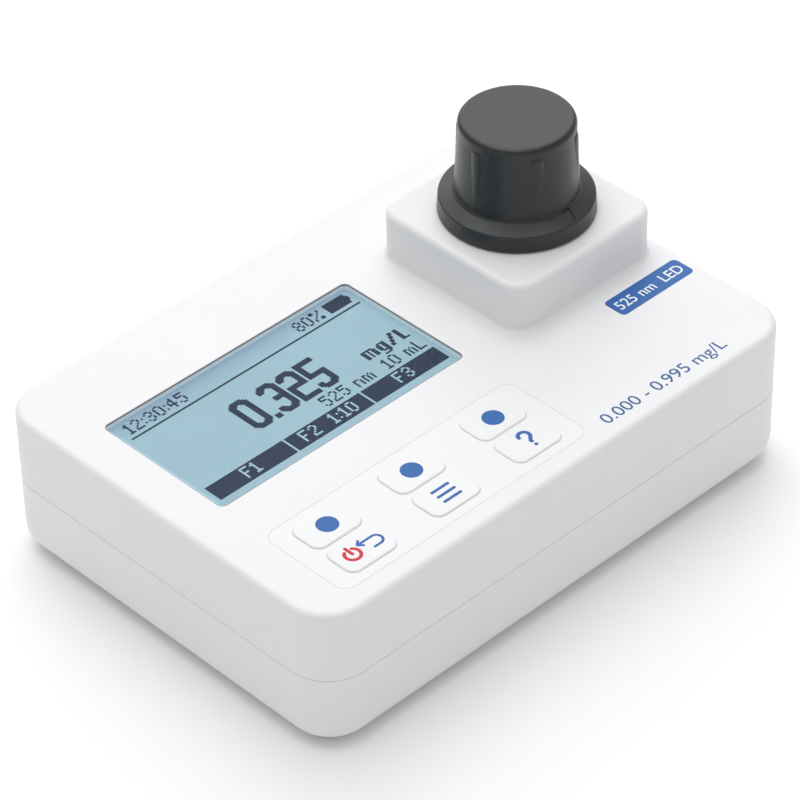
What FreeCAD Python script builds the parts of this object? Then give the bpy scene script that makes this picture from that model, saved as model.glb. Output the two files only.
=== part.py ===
"""Portable photometer: a bench-top housing with a display, six keys and a covered cuvette well.

Millimetres. The origin is at the centre of the base, on the surface that the feet stand on.
+X is the reading direction, +Y points to the back and +Z up.
"""
import FreeCAD, Part
import math
import os
from FreeCAD import Vector

os.makedirs("parts", exist_ok=True)

# Housing
BODY_LENGTH = 142.5
BODY_DEPTH = 102.5
BODY_HEIGHT = 36.3
TOP_SHELL_HEIGHT = 17.75
WALL = 2.2
PLAN_CORNER_R = 10.4
TOP_EDGE_R = 1.6
BOTTOM_EDGE_R = 5.4
SEAM_CHAMFER = 0.2
TONGUE_WIDTH = 0.9
TONGUE_HEIGHT = 1.2
GASKET_HEIGHT = 0.6

# Feet
FOOT_R = 5.0
FOOT_HEIGHT = 1.2
FOOT_SEAT_DEPTH = 0.8
FOOT_INSET_X = 12.0
FOOT_INSET_Y = 17.5

# Raised block round the cuvette well
BLOCK_SIZE = 44.4
BLOCK_HEIGHT = 12.5
BLOCK_CORNER_R = 5.5
BLOCK_TOP_EDGE_R = 1.5
BLOCK_BASE_R = 1.1
BLOCK_RIGHT_MARGIN = 3.05
BLOCK_BACK_MARGIN = 19.45

# Display
WINDOW_LENGTH = 71.4
WINDOW_DEPTH = 37.9
WINDOW_CORNER_R = 1.6
WINDOW_THICKNESS = 1.4
WINDOW_SINK = 0.1
WINDOW_LEFT_MARGIN = 11.1
WINDOW_PANEL_GAP = 12.55
GLASS_OVERLAP = 1.8
GLASS_THICKNESS = 2.4
BACKLIGHT_THICKNESS = 2.6
FRAME_WALL = 1.0
FRAME_FLOOR = 0.6
RIBBON_WIDTH = 30.0
RIBBON_THICKNESS = 0.3
RIBBON_REACH = 3.4
SOCKET_HEIGHT = 1.6

# Keypad
PANEL_LENGTH = 71.6
PANEL_DEPTH = 24.4
PANEL_CORNER_R = 3.0
PANEL_THICKNESS = 0.6
PANEL_FRONT_MARGIN = 5.5
KEY_LENGTH = 13.6
KEY_DEPTH = 9.0
KEY_CORNER_R = 2.4
KEY_PROUD = 0.7
KEY_EDGE_R = 0.35
KEY_PITCH_X = 24.3
KEY_PITCH_Y = 10.3
KEY_FLANGE_WIDTH = 0.45
KEY_FLANGE_THICKNESS = 1.0
KEY_STEM_R = 2.2
KEY_WALL = 1.2
DOME_R = 4.0
DOME_HEIGHT = 2.0
DOME_WALL = 0.5
MAT_THICKNESS = 1.0
MAT_MARGIN = 2.4

# Circuit board
BOARD_THICKNESS = 1.6
BOARD_LEFT_GAP = 5.0
BOARD_RIGHT_GAP = 8.0
BOARD_FRONT_GAP = 3.5
BOARD_POST_R = 2.5
BOARD_POST_GAP = 0.95
BOARD_POST_INSET = 3.0
CHIP_SIZE = 14.0
CHIP_HEIGHT = 1.6
BEEPER_R = 6.0
BEEPER_HEIGHT = 5.0

# Screws
CASE_SCREW_R = 1.4
CASE_SCREW_HEAD_R = 2.7
CASE_SCREW_HEAD_HEIGHT = 1.8
CASE_SCREW_GRIP = 6.0
CASE_SCREW_BITE = 8.0
CASE_SCREW_INSET = 8.25
CASE_BOSS_R = 3.6
SMALL_SCREW_R = 0.9
SMALL_SCREW_HEAD_R = 1.9
SMALL_SCREW_HEAD_HEIGHT = 1.2
SMALL_SCREW_BITE = 3.4

# Cuvette holder and its light path
WELL_R = 12.5
WELL_FLOOR = 3.0
HOLDER_SIZE = 34.0
HOLDER_CORNER_R = 3.0
COLLAR_R = 14.8
COLLAR_HEIGHT = 3.2
COLLAR_EDGE = 0.5
EAR_RISE = 4.0
EAR_THICKNESS = 3.0
EAR_REACH = 3.6
EAR_R = 3.4
LIGHT_PATH_RISE = 13.6
ARM_SIZE = 15.0
LAMP_ARM_LENGTH = 18.0
DETECTOR_ARM_LENGTH = 2.4
LAMP_CHANNEL_R = 4.0
APERTURE_R = 2.5
LAMP_R = 2.5
LAMP_LENGTH = 6.0
LENS_THICKNESS = 2.6
LENS_SEAT_DEPTH = 9.0
SPLITTER_SIZE = 10.0
SPLITTER_THICKNESS = 1.0
SPLITTER_STEP = 4.2
FILTER_R = 5.0
FILTER_THICKNESS = 2.0
DETECTOR_R = 4.1
DETECTOR_HEIGHT = 2.4
REFERENCE_R = 2.6
REFERENCE_HEIGHT = 3.0
SENSOR_BOARD_SIZE = 20.0

# Light shield cap
SKIRT_R = 17.85
SKIRT_DRAFT = 0.25
SKIRT_HEIGHT = 4.15
SKIRT_EDGE = 0.4
CAP_HEIGHT = 24.1
CAP_FOOT_R = 14.1
CAP_FOOT_FILLET_R = 0.7
CAP_SHOULDER_RISE = 1.4
CAP_RIM_R = 13.2
CAP_RIM_EDGE_R = 1.3
CAP_TURN = 3.0
CAP_WALL = 0.85
CAP_ROOF = 2.4
FLUTE_COUNT = 6
FLUTE_R = 3.6
FLUTE_TOP_R = 12.65
FLUTE_TOP_DROP = 3.1
FLUTE_RISE = 3.0
POINTER_HALF_WIDTH = 1.3
POINTER_FLOOR = 0.2
RING_WIDTH = 1.7
RING_THICKNESS = 1.0
CAP_FLOAT = 0.2

# Batteries and their door
CELL_R = 7.1
CELL_LENGTH = 49.2
CELL_NUB_R = 2.7
CELL_NUB_LENGTH = 1.3
CELL_COUNT = 3
CELL_PITCH = 15.0
CONTACT_THICKNESS = 0.4
CONTACT_SIZE = 10.0
SPRING_REACH = 3.4
BAY_WALL = 1.5
BAY_LEFT_MARGIN = 17.35
BAY_SHIFT_Y = 1.0
KNUCKLE_R = 2.0
PIN_R = 1.0
PIN_REACH = 2.4
HINGE_WALL = 1.4
DOOR_LIP_WIDTH = 20.0
DOOR_LIP_HEIGHT = 2.0
DOOR_LIP_THICKNESS = 1.0
NOTCH_R = 7.0
NOTCH_DEPTH = 1.1
DOOR_GASKET_WIDTH = 0.8
DOOR_GASKET_HEIGHT = 0.5

# Clearances
SEAT_GAP = 0.1
KEY_GAP = 0.18
PANEL_GAP = 0.15
MOVING_GAP = 0.3
RUNNING_GAP = 0.05
OVERCUT = 1.0
TOLERANCE = 1e-4

# Heights that follow
FLOOR_Z = FOOT_HEIGHT
INNER_FLOOR_Z = FLOOR_Z + WALL
FACE_Z = FLOOR_Z + BODY_HEIGHT
ROOF_Z = FACE_Z - WALL
PARTING_Z = FACE_Z - TOP_SHELL_HEIGHT
BLOCK_TOP_Z = FACE_Z + BLOCK_HEIGHT
BLOCK_ROOF_Z = BLOCK_TOP_Z - WALL
GLASS_TOP_Z = FACE_Z - WINDOW_SINK - WINDOW_THICKNESS
BOARD_TOP_Z = GLASS_TOP_Z - GLASS_THICKNESS - BACKLIGHT_THICKNESS - FRAME_FLOOR
BOARD_LOW_Z = BOARD_TOP_Z - BOARD_THICKNESS
LIGHT_Z = INNER_FLOOR_Z + WELL_FLOOR + LIGHT_PATH_RISE
COLLAR_TOP_Z = BLOCK_TOP_Z + COLLAR_HEIGHT
CAP_BASE_Z = BLOCK_TOP_Z + CAP_FLOAT

# Places that follow
BLOCK_X = BODY_LENGTH / 2 - BLOCK_RIGHT_MARGIN - BLOCK_SIZE / 2
BLOCK_Y = BODY_DEPTH / 2 - BLOCK_BACK_MARGIN - BLOCK_SIZE / 2
WINDOW_X = -BODY_LENGTH / 2 + WINDOW_LEFT_MARGIN + WINDOW_LENGTH / 2
PANEL_X = WINDOW_X
PANEL_Y = -BODY_DEPTH / 2 + PANEL_FRONT_MARGIN + PANEL_DEPTH / 2
WINDOW_Y = PANEL_Y + PANEL_DEPTH / 2 + WINDOW_PANEL_GAP + WINDOW_DEPTH / 2
GLASS_LENGTH = WINDOW_LENGTH + 2 * GLASS_OVERLAP
GLASS_DEPTH = WINDOW_DEPTH + 2 * GLASS_OVERLAP
FRAME_LENGTH = GLASS_LENGTH + 2 * (SEAT_GAP + FRAME_WALL)
FRAME_DEPTH = GLASS_DEPTH + 2 * (SEAT_GAP + FRAME_WALL)
CASE_SCREW_X = BODY_LENGTH / 2 - CASE_SCREW_INSET
CASE_SCREW_Y = BODY_DEPTH / 2 - CASE_SCREW_INSET
CASE_SCREW_SEAT_Z = PARTING_Z - CASE_SCREW_GRIP
BOARD_X0 = -BODY_LENGTH / 2 + WALL + BOARD_LEFT_GAP
BOARD_X1 = BLOCK_X - HOLDER_SIZE / 2 - BOARD_RIGHT_GAP
BOARD_Y0 = -BODY_DEPTH / 2 + WALL + BOARD_FRONT_GAP
BOARD_Y1 = WINDOW_Y + FRAME_DEPTH / 2 + BOARD_POST_GAP + BOARD_POST_R + BOARD_POST_INSET
RING_INNER_R = COLLAR_R + MOVING_GAP
RING_OUTER_R = RING_INNER_R + RING_WIDTH
CAP_SEAT_Z = BLOCK_TOP_Z + RING_THICKNESS
BAY_LENGTH = CELL_LENGTH + CELL_NUB_LENGTH + SPRING_REACH + 2 * CONTACT_THICKNESS
BAY_WIDTH = (CELL_COUNT - 1) * CELL_PITCH + 2 * CELL_R + 2 * MOVING_GAP
BAY_Y0 = BAY_SHIFT_Y - BAY_LENGTH / 2
BAY_Y1 = BAY_SHIFT_Y + BAY_LENGTH / 2
CELL_Z = INNER_FLOOR_Z + MOVING_GAP + CELL_R
BAY_ROOF_Z = CELL_Z + CELL_R + SEAT_GAP
BAY_RIM_Z = INNER_FLOOR_Z + MOVING_GAP + SEAT_GAP
HINGE_Y = BAY_Y0 - BAY_WALL - MOVING_GAP - KNUCKLE_R
HINGE_Z = FLOOR_Z + KNUCKLE_R
DOOR_WIDTH = BAY_WIDTH + 2 * BAY_WALL
BAY_X = -BODY_LENGTH / 2 + BAY_LEFT_MARGIN + DOOR_WIDTH / 2
DOOR_END_Y = BAY_Y1 + BAY_WALL
CELL_Y0 = BAY_Y0 + CONTACT_THICKNESS


def rounded_slab(cx, cy, length, depth, radius, low, high):
    """An upright plate with four rounded corners between two heights."""
    half_x = length / 2
    half_y = depth / 2
    k = radius * (1 - math.sqrt(0.5))
    edges = []
    for sx, sy in ((1, 1), (-1, 1), (-1, -1), (1, -1)):
        turn = sx * sy
        along = Vector(cx + sx * half_x, cy + sy * (half_y - radius), low)
        middle = Vector(cx + sx * (half_x - k), cy + sy * (half_y - k), low)
        across = Vector(cx + sx * (half_x - radius), cy + sy * half_y, low)
        first, last = (along, across) if turn > 0 else (across, along)
        if edges:
            edges.append(Part.LineSegment(edges[-1].EndPoint, first))
        edges.append(Part.Arc(first, middle, last))
    edges.append(Part.LineSegment(edges[-1].EndPoint, edges[0].StartPoint))
    wire = Part.Wire([edge.toShape() for edge in edges])
    return Part.Face(wire).extrude(Vector(0, 0, high - low))


def box(x0, x1, y0, y1, z0, z1):
    """A square-edged box between three pairs of planes."""
    return Part.makeBox(x1 - x0, y1 - y0, z1 - z0, Vector(x0, y0, z0))


def rod(radius, start, direction, length):
    """A round bar that starts at a point."""
    return Part.makeCylinder(radius, length, Vector(*start), Vector(*direction))


def post(x, y, radius, low, high):
    """An upright round bar between two heights."""
    return rod(radius, (x, y, low), (0, 0, 1), high - low)


def edges_at(shape, height, near=None, reach=None):
    """The edges that lie level at a height, and within a reach of a point if one is given."""
    found = []
    for edge in shape.Edges:
        bounds = edge.BoundBox
        if abs(bounds.ZMin - height) > TOLERANCE or abs(bounds.ZMax - height) > TOLERANCE:
            continue
        if near is not None:
            offset = max(abs(bounds.Center.x - near[0]), abs(bounds.Center.y - near[1]))
            if offset > reach:
                continue
        found.append(edge)
    return found


def revolved(points, x, y, angle=360.0, start=0.0):
    """A closed outline of radius and height pairs, turned about an upright axis."""
    corners = [Vector(r, 0, z) for r, z in points]
    face = Part.Face(Part.makePolygon(corners + corners[:1]))
    solid = face.revolve(Vector(0, 0, 0), Vector(0, 0, 1), angle)
    solid.rotate(Vector(0, 0, 0), Vector(0, 0, 1), start)
    solid.translate(Vector(x, y, 0))
    return solid


def screw(x, y, seat_z, up, radius, head_r, head_height, reach):
    """A screw with a bevelled head: the head lies outside the seat and the shank points along up."""
    direction = Vector(0, 0, up)
    seat = Vector(x, y, seat_z)
    shank = Part.makeCylinder(radius, reach, seat, direction)
    head = Part.makeCylinder(head_r, head_height, seat - direction * head_height, direction)
    outer = [e for e in head.Edges if abs(e.BoundBox.Center.z - (seat_z - up * head_height)) < TOLERANCE
             and e.BoundBox.XLength > head_r]
    return head.makeChamfer(head_height / 3, outer).fuse(shank)


def quadrants(x, y):
    """The four mirror places of a point about the middle of the base."""
    return [(sx * x, sy * y) for sx in (-1, 1) for sy in (-1, 1)]


def save(name, shape):
    """Write one piece, or a group of like pieces, to its own file."""
    if isinstance(shape, list):
        shape = Part.makeCompound(shape)
    shape.exportStep("parts/" + name + ".step")


def key_centres():
    """The name and the centre of each key, by column and row."""
    names = (("soft_left", "soft_middle", "soft_right"), ("power", "menu", "help"))
    centres = {}
    for row, row_names in enumerate(names):
        for column, name in enumerate(row_names):
            x = PANEL_X + (column - 1) * KEY_PITCH_X
            y = PANEL_Y + (0.5 - row) * KEY_PITCH_Y
            centres[name] = (x, y)
    return centres


def board_posts():
    """The four places where the circuit board is screwed up to the top shell."""
    low_y = WINDOW_Y - FRAME_DEPTH / 2 - BOARD_POST_R - RIBBON_REACH - 2 * MOVING_GAP
    high_y = BOARD_Y1 - BOARD_POST_INSET
    left = -CASE_SCREW_X + CASE_BOSS_R + MOVING_GAP + BOARD_POST_R
    right = BOARD_X1 - BOARD_POST_INSET
    return [(x, y) for x in (left, right) for y in (low_y, high_y)]


def holder_ears():
    """The two places where the cuvette holder is screwed down."""
    reach = HOLDER_SIZE / 2 + EAR_REACH
    return [(BLOCK_X, BLOCK_Y - reach), (BLOCK_X, BLOCK_Y + reach)]


def rim_ring(inset, width, low, high):
    """A closed strip that follows the housing's outline, a given distance inside it."""
    outer = rounded_slab(0, 0, BODY_LENGTH - 2 * inset, BODY_DEPTH - 2 * inset,
                         PLAN_CORNER_R - inset, low, high)
    reach = inset + width
    inner = rounded_slab(0, 0, BODY_LENGTH - 2 * reach, BODY_DEPTH - 2 * reach,
                         PLAN_CORNER_R - reach, low - OVERCUT, high + OVERCUT)
    return outer.cut(inner)


# Top shell: one moulding with the raised block, the display opening and the keypad recess

def top_shell():
    skin = rounded_slab(0, 0, BODY_LENGTH, BODY_DEPTH, PLAN_CORNER_R, PARTING_Z, FACE_Z)
    skin = skin.makeFillet(TOP_EDGE_R, edges_at(skin, FACE_Z))
    skin = skin.makeChamfer(SEAM_CHAMFER, edges_at(skin, PARTING_Z))
    block = rounded_slab(BLOCK_X, BLOCK_Y, BLOCK_SIZE, BLOCK_SIZE, BLOCK_CORNER_R, ROOF_Z, BLOCK_TOP_Z)
    block = block.makeFillet(BLOCK_TOP_EDGE_R, edges_at(block, BLOCK_TOP_Z))
    skin = skin.fuse(block)
    foot = edges_at(skin, FACE_Z, (BLOCK_X, BLOCK_Y), BLOCK_SIZE / 2 + TOLERANCE)
    skin = skin.makeFillet(BLOCK_BASE_R, foot)
    hollow = rounded_slab(0, 0, BODY_LENGTH - 2 * WALL, BODY_DEPTH - 2 * WALL,
                          PLAN_CORNER_R - WALL, PARTING_Z - OVERCUT, ROOF_Z)
    hollow = hollow.makeFillet(WALL / 2, edges_at(hollow, ROOF_Z))
    block_hollow = rounded_slab(BLOCK_X, BLOCK_Y, BLOCK_SIZE - 2 * WALL, BLOCK_SIZE - 2 * WALL,
                                BLOCK_CORNER_R - WALL, ROOF_Z - OVERCUT, BLOCK_ROOF_Z)
    collar_hole = post(BLOCK_X, BLOCK_Y, COLLAR_R + SEAT_GAP, BLOCK_ROOF_Z - OVERCUT,
                       BLOCK_TOP_Z + OVERCUT)
    shell = skin.cut([hollow, block_hollow, collar_hole])
    posts = [post(x, y, CASE_BOSS_R, PARTING_Z, ROOF_Z + WALL / 2)
             for x, y in quadrants(CASE_SCREW_X, CASE_SCREW_Y)]
    posts += [post(x, y, BOARD_POST_R, BOARD_TOP_Z, ROOF_Z + WALL / 2) for x, y in board_posts()]
    tongue = rim_ring(WALL - TONGUE_WIDTH, TONGUE_WIDTH, PARTING_Z - TONGUE_HEIGHT, PARTING_Z + OVERCUT)
    shell = shell.fuse(posts + [tongue])
    cuts = [post(x, y, CASE_SCREW_R + RUNNING_GAP, PARTING_Z - OVERCUT,
                 PARTING_Z + CASE_SCREW_BITE + OVERCUT)
            for x, y in quadrants(CASE_SCREW_X, CASE_SCREW_Y)]
    cuts += [post(x, y, SMALL_SCREW_R + RUNNING_GAP, BOARD_TOP_Z - OVERCUT,
                  BOARD_TOP_Z + SMALL_SCREW_BITE + SEAT_GAP) for x, y in board_posts()]
    cuts.append(rounded_slab(WINDOW_X, WINDOW_Y, WINDOW_LENGTH, WINDOW_DEPTH, WINDOW_CORNER_R,
                             ROOF_Z - OVERCUT, FACE_Z + OVERCUT))
    cuts.append(display_plate(ROOF_Z - OVERCUT, GLASS_TOP_Z, -SEAT_GAP))
    cuts.append(rounded_slab(PANEL_X, PANEL_Y, PANEL_LENGTH + 2 * PANEL_GAP, PANEL_DEPTH + 2 * PANEL_GAP,
                             PANEL_CORNER_R + PANEL_GAP, FACE_Z - PANEL_THICKNESS, FACE_Z + OVERCUT))
    for x, y in key_centres().values():
        cuts.append(rounded_slab(x, y, KEY_LENGTH + 2 * KEY_GAP, KEY_DEPTH + 2 * KEY_GAP,
                                 KEY_CORNER_R + KEY_GAP, ROOF_Z - OVERCUT, FACE_Z))
    return shell.cut(cuts)


# Bottom shell: screw posts, foot seats, the holder's bosses and the battery bay

def bay_body():
    """The walls and roof of the battery bay, its rim over the door, and the hinge's bearings."""
    outer = box(BAY_X - DOOR_WIDTH / 2, BAY_X + DOOR_WIDTH / 2,
                BAY_Y0 - BAY_WALL, BAY_Y1 + BAY_WALL, FLOOR_Z + WALL / 2, BAY_ROOF_Z + BAY_WALL)
    rim_x = DOOR_WIDTH / 2 + MOVING_GAP + HINGE_WALL
    rim = box(BAY_X - rim_x, BAY_X + rim_x, HINGE_Y, DOOR_END_Y + MOVING_GAP + HINGE_WALL,
              FLOOR_Z + WALL / 2, BAY_RIM_Z + HINGE_WALL)
    side = DOOR_WIDTH / 2 + MOVING_GAP + PIN_REACH + HINGE_WALL
    reach = KNUCKLE_R + MOVING_GAP + HINGE_WALL
    hinge = box(BAY_X - side, BAY_X + side, HINGE_Y - reach, BAY_Y0,
                FLOOR_Z + WALL / 2, HINGE_Z + reach)
    return outer.fuse([rim, hinge])


def bay_cuts():
    """The space for the cells, the door's opening, the knuckle's groove and the pin holes."""
    cells = box(BAY_X - BAY_WIDTH / 2, BAY_X + BAY_WIDTH / 2, BAY_Y0, BAY_Y1,
                FLOOR_Z - OVERCUT, BAY_ROOF_Z)
    half = DOOR_WIDTH / 2 + MOVING_GAP
    opening = box(BAY_X - half, BAY_X + half, HINGE_Y, DOOR_END_Y + MOVING_GAP,
                  FLOOR_Z - OVERCUT, BAY_RIM_Z)
    knuckle = rod(KNUCKLE_R + MOVING_GAP, (BAY_X - half, HINGE_Y, HINGE_Z), (1, 0, 0), 2 * half)
    mouth = box(BAY_X - half, BAY_X + half, HINGE_Y - KNUCKLE_R - MOVING_GAP, HINGE_Y,
                FLOOR_Z - OVERCUT, HINGE_Z)
    reach = half + PIN_REACH + SEAT_GAP
    pins = rod(PIN_R + RUNNING_GAP, (BAY_X - reach, HINGE_Y, HINGE_Z), (1, 0, 0), 2 * reach)
    notch = post(BAY_X, DOOR_END_Y + MOVING_GAP, NOTCH_R, FLOOR_Z - OVERCUT, FLOOR_Z + NOTCH_DEPTH)
    return [cells, opening, knuckle, mouth, pins, notch]


def bottom_shell():
    skin = rounded_slab(0, 0, BODY_LENGTH, BODY_DEPTH, PLAN_CORNER_R, FLOOR_Z, PARTING_Z)
    skin = skin.makeFillet(BOTTOM_EDGE_R, edges_at(skin, FLOOR_Z))
    skin = skin.makeChamfer(SEAM_CHAMFER, edges_at(skin, PARTING_Z))
    hollow = rounded_slab(0, 0, BODY_LENGTH - 2 * WALL, BODY_DEPTH - 2 * WALL,
                          PLAN_CORNER_R - WALL, INNER_FLOOR_Z, PARTING_Z + OVERCUT)
    hollow = hollow.makeFillet(BOTTOM_EDGE_R - WALL, edges_at(hollow, INNER_FLOOR_Z))
    ledge = rounded_slab(0, 0, BODY_LENGTH - 2 * (WALL - TONGUE_WIDTH - SEAT_GAP),
                         BODY_DEPTH - 2 * (WALL - TONGUE_WIDTH - SEAT_GAP),
                         PLAN_CORNER_R - WALL + TONGUE_WIDTH + SEAT_GAP,
                         PARTING_Z - TONGUE_HEIGHT - GASKET_HEIGHT, PARTING_Z + OVERCUT)
    shell = skin.cut([hollow, ledge])
    adds = [post(x, y, CASE_BOSS_R, FLOOR_Z + WALL / 2, PARTING_Z)
            for x, y in quadrants(CASE_SCREW_X, CASE_SCREW_Y)]
    adds += [post(x, y, EAR_R, FLOOR_Z + WALL / 2, INNER_FLOOR_Z + EAR_RISE) for x, y in holder_ears()]
    adds.append(bay_body())
    shell = shell.fuse(adds)
    cuts = bay_cuts()
    for x, y in quadrants(CASE_SCREW_X, CASE_SCREW_Y):
        cuts.append(post(x, y, CASE_SCREW_HEAD_R + SEAT_GAP, FLOOR_Z - OVERCUT, CASE_SCREW_SEAT_Z))
        cuts.append(post(x, y, CASE_SCREW_R + SEAT_GAP, CASE_SCREW_SEAT_Z - OVERCUT,
                         PARTING_Z + OVERCUT))
    for x, y in quadrants(BODY_LENGTH / 2 - FOOT_INSET_X, BODY_DEPTH / 2 - FOOT_INSET_Y):
        cuts.append(post(x, y, FOOT_R + SEAT_GAP, FLOOR_Z - OVERCUT, FLOOR_Z + FOOT_SEAT_DEPTH))
    for x, y in holder_ears():
        cuts.append(post(x, y, SMALL_SCREW_R + RUNNING_GAP, INNER_FLOOR_Z + SEAT_GAP,
                         INNER_FLOOR_Z + EAR_RISE + OVERCUT))
    return shell.cut(cuts)


def housing_gasket():
    return rim_ring(WALL - TONGUE_WIDTH, TONGUE_WIDTH, PARTING_Z - TONGUE_HEIGHT - GASKET_HEIGHT,
                    PARTING_Z - TONGUE_HEIGHT)


def case_screws():
    return [screw(x, y, CASE_SCREW_SEAT_Z, 1, CASE_SCREW_R, CASE_SCREW_HEAD_R, CASE_SCREW_HEAD_HEIGHT,
                  CASE_SCREW_GRIP + CASE_SCREW_BITE) for x, y in quadrants(CASE_SCREW_X, CASE_SCREW_Y)]


def rubber_feet():
    feet = []
    for x, y in quadrants(BODY_LENGTH / 2 - FOOT_INSET_X, BODY_DEPTH / 2 - FOOT_INSET_Y):
        foot = post(x, y, FOOT_R, 0, FLOOR_Z + FOOT_SEAT_DEPTH)
        feet.append(foot.makeChamfer(FOOT_HEIGHT / 3, edges_at(foot, 0)))
    return feet


# Display: window, liquid crystal glass, backlight, frame and ribbon

def display_window():
    return rounded_slab(WINDOW_X, WINDOW_Y, WINDOW_LENGTH - 2 * SEAT_GAP, WINDOW_DEPTH - 2 * SEAT_GAP,
                        WINDOW_CORNER_R - SEAT_GAP, GLASS_TOP_Z, FACE_Z - WINDOW_SINK)


def display_plate(low, high, shrink=0.0):
    """A plate of the glass's outline."""
    half_x = GLASS_LENGTH / 2 - shrink
    half_y = GLASS_DEPTH / 2 - shrink
    return box(WINDOW_X - half_x, WINDOW_X + half_x, WINDOW_Y - half_y, WINDOW_Y + half_y, low, high)


def lcd_frame():
    low = BOARD_TOP_Z
    floor_z = low + FRAME_FLOOR
    high = ROOF_Z - SEAT_GAP
    tray = box(WINDOW_X - FRAME_LENGTH / 2, WINDOW_X + FRAME_LENGTH / 2,
               WINDOW_Y - FRAME_DEPTH / 2, WINDOW_Y + FRAME_DEPTH / 2, low, high)
    inside = display_plate(floor_z, high + OVERCUT, -SEAT_GAP)
    slot_z = ribbon_top()
    slot = box(WINDOW_X - RIBBON_WIDTH / 2 - SEAT_GAP, WINDOW_X + RIBBON_WIDTH / 2 + SEAT_GAP,
               WINDOW_Y - FRAME_DEPTH / 2 - OVERCUT, WINDOW_Y,
               slot_z - RIBBON_THICKNESS - SEAT_GAP, high + OVERCUT)
    return tray.cut([inside, slot])


def ribbon_top():
    """The height where the ribbon leaves the edge of the glass."""
    return GLASS_TOP_Z - GLASS_THICKNESS / 2


def ribbon_low():
    """The height of the ribbon's underside where it lies in its socket."""
    return BOARD_TOP_Z + SOCKET_HEIGHT / 2


def lcd_ribbon():
    """A flat ribbon that leaves the glass, turns down and back into its socket on the board."""
    edge_y = WINDOW_Y - GLASS_DEPTH / 2
    outer_y = WINDOW_Y - FRAME_DEPTH / 2 - RIBBON_REACH
    top = ribbon_top()
    low = ribbon_low()
    outer_r = (top - low) / 2
    inner_r = outer_r - RIBBON_THICKNESS
    centre_y = outer_y + outer_r
    middle = (top + low) / 2
    end_y = WINDOW_Y - FRAME_DEPTH / 2 - SEAT_GAP
    x = WINDOW_X - RIBBON_WIDTH / 2

    def at(y, z):
        return Vector(x, y, z)

    outline = [
        Part.LineSegment(at(edge_y, top), at(centre_y, top)),
        Part.Arc(at(centre_y, top), at(outer_y, middle), at(centre_y, low)),
        Part.LineSegment(at(centre_y, low), at(end_y, low)),
        Part.LineSegment(at(end_y, low), at(end_y, low + RIBBON_THICKNESS)),
        Part.LineSegment(at(end_y, low + RIBBON_THICKNESS), at(centre_y, low + RIBBON_THICKNESS)),
        Part.Arc(at(centre_y, low + RIBBON_THICKNESS), at(centre_y - inner_r, middle),
                 at(centre_y, top - RIBBON_THICKNESS)),
        Part.LineSegment(at(centre_y, top - RIBBON_THICKNESS), at(edge_y, top - RIBBON_THICKNESS)),
        Part.LineSegment(at(edge_y, top - RIBBON_THICKNESS), at(edge_y, top)),
    ]
    wire = Part.Wire([edge.toShape() for edge in outline])
    return Part.Face(wire).extrude(Vector(RIBBON_WIDTH, 0, 0))


def ribbon_socket():
    """The socket that the ribbon's tail lies in, on the board in front of the frame."""
    half = RIBBON_WIDTH / 2 + FRAME_WALL
    front = WINDOW_Y - FRAME_DEPTH / 2 - RIBBON_REACH + (ribbon_top() - ribbon_low()) / 2 + SEAT_GAP
    back = WINDOW_Y - FRAME_DEPTH / 2 - SEAT_GAP
    body = box(WINDOW_X - half, WINDOW_X + half, front, back, BOARD_TOP_Z, BOARD_TOP_Z + SOCKET_HEIGHT)
    low = ribbon_low()
    mouth = box(WINDOW_X - RIBBON_WIDTH / 2 - RUNNING_GAP, WINDOW_X + RIBBON_WIDTH / 2 + RUNNING_GAP,
                front - OVERCUT, back + OVERCUT, low, low + RIBBON_THICKNESS)
    return body.cut(mouth)


# Keypad: panel, keys, silicone mat and switch domes

def keypad_panel():
    panel = rounded_slab(PANEL_X, PANEL_Y, PANEL_LENGTH, PANEL_DEPTH, PANEL_CORNER_R,
                         FACE_Z - PANEL_THICKNESS, FACE_Z)
    holes = [rounded_slab(x, y, KEY_LENGTH + 2 * KEY_GAP, KEY_DEPTH + 2 * KEY_GAP, KEY_CORNER_R + KEY_GAP,
                          FACE_Z - PANEL_THICKNESS - OVERCUT, FACE_Z + OVERCUT)
             for x, y in key_centres().values()]
    return panel.cut(holes)


def key(x, y):
    """A key: a soft-edged cap, a flange that keeps it in, and a stem over its dome."""
    flange_top = ROOF_Z - SEAT_GAP
    flange_low = flange_top - KEY_FLANGE_THICKNESS
    top = FACE_Z + KEY_PROUD
    cap = rounded_slab(x, y, KEY_LENGTH, KEY_DEPTH, KEY_CORNER_R, flange_low, top)
    cap = cap.makeFillet(KEY_EDGE_R, edges_at(cap, top))
    flange_x = KEY_LENGTH / 2 + KEY_FLANGE_WIDTH
    flange_y = KEY_DEPTH / 2 + KEY_FLANGE_WIDTH
    flange = box(x - flange_x, x + flange_x, y - flange_y, y + flange_y, flange_low, flange_top)
    hollow_x = KEY_LENGTH / 2 - KEY_WALL
    hollow_y = KEY_DEPTH / 2 - KEY_WALL
    hollow = box(x - hollow_x, x + hollow_x, y - hollow_y, y + hollow_y, flange_low - OVERCUT,
                 top - KEY_WALL)
    stem = post(x, y, KEY_STEM_R, BOARD_TOP_Z + DOME_HEIGHT, top - KEY_WALL / 2)
    return cap.fuse(flange).cut(hollow).fuse(stem)


def switch_dome(x, y):
    """A silicone dome on the board, under one key."""
    top_z = BOARD_TOP_Z + DOME_HEIGHT
    outline = [(DOME_R - DOME_WALL, BOARD_TOP_Z), (DOME_R, BOARD_TOP_Z), (KEY_STEM_R, top_z), (0, top_z),
               (0, top_z - 2 * DOME_WALL), (KEY_STEM_R - DOME_WALL, top_z - 2 * DOME_WALL)]
    return revolved(outline, x, y)


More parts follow.
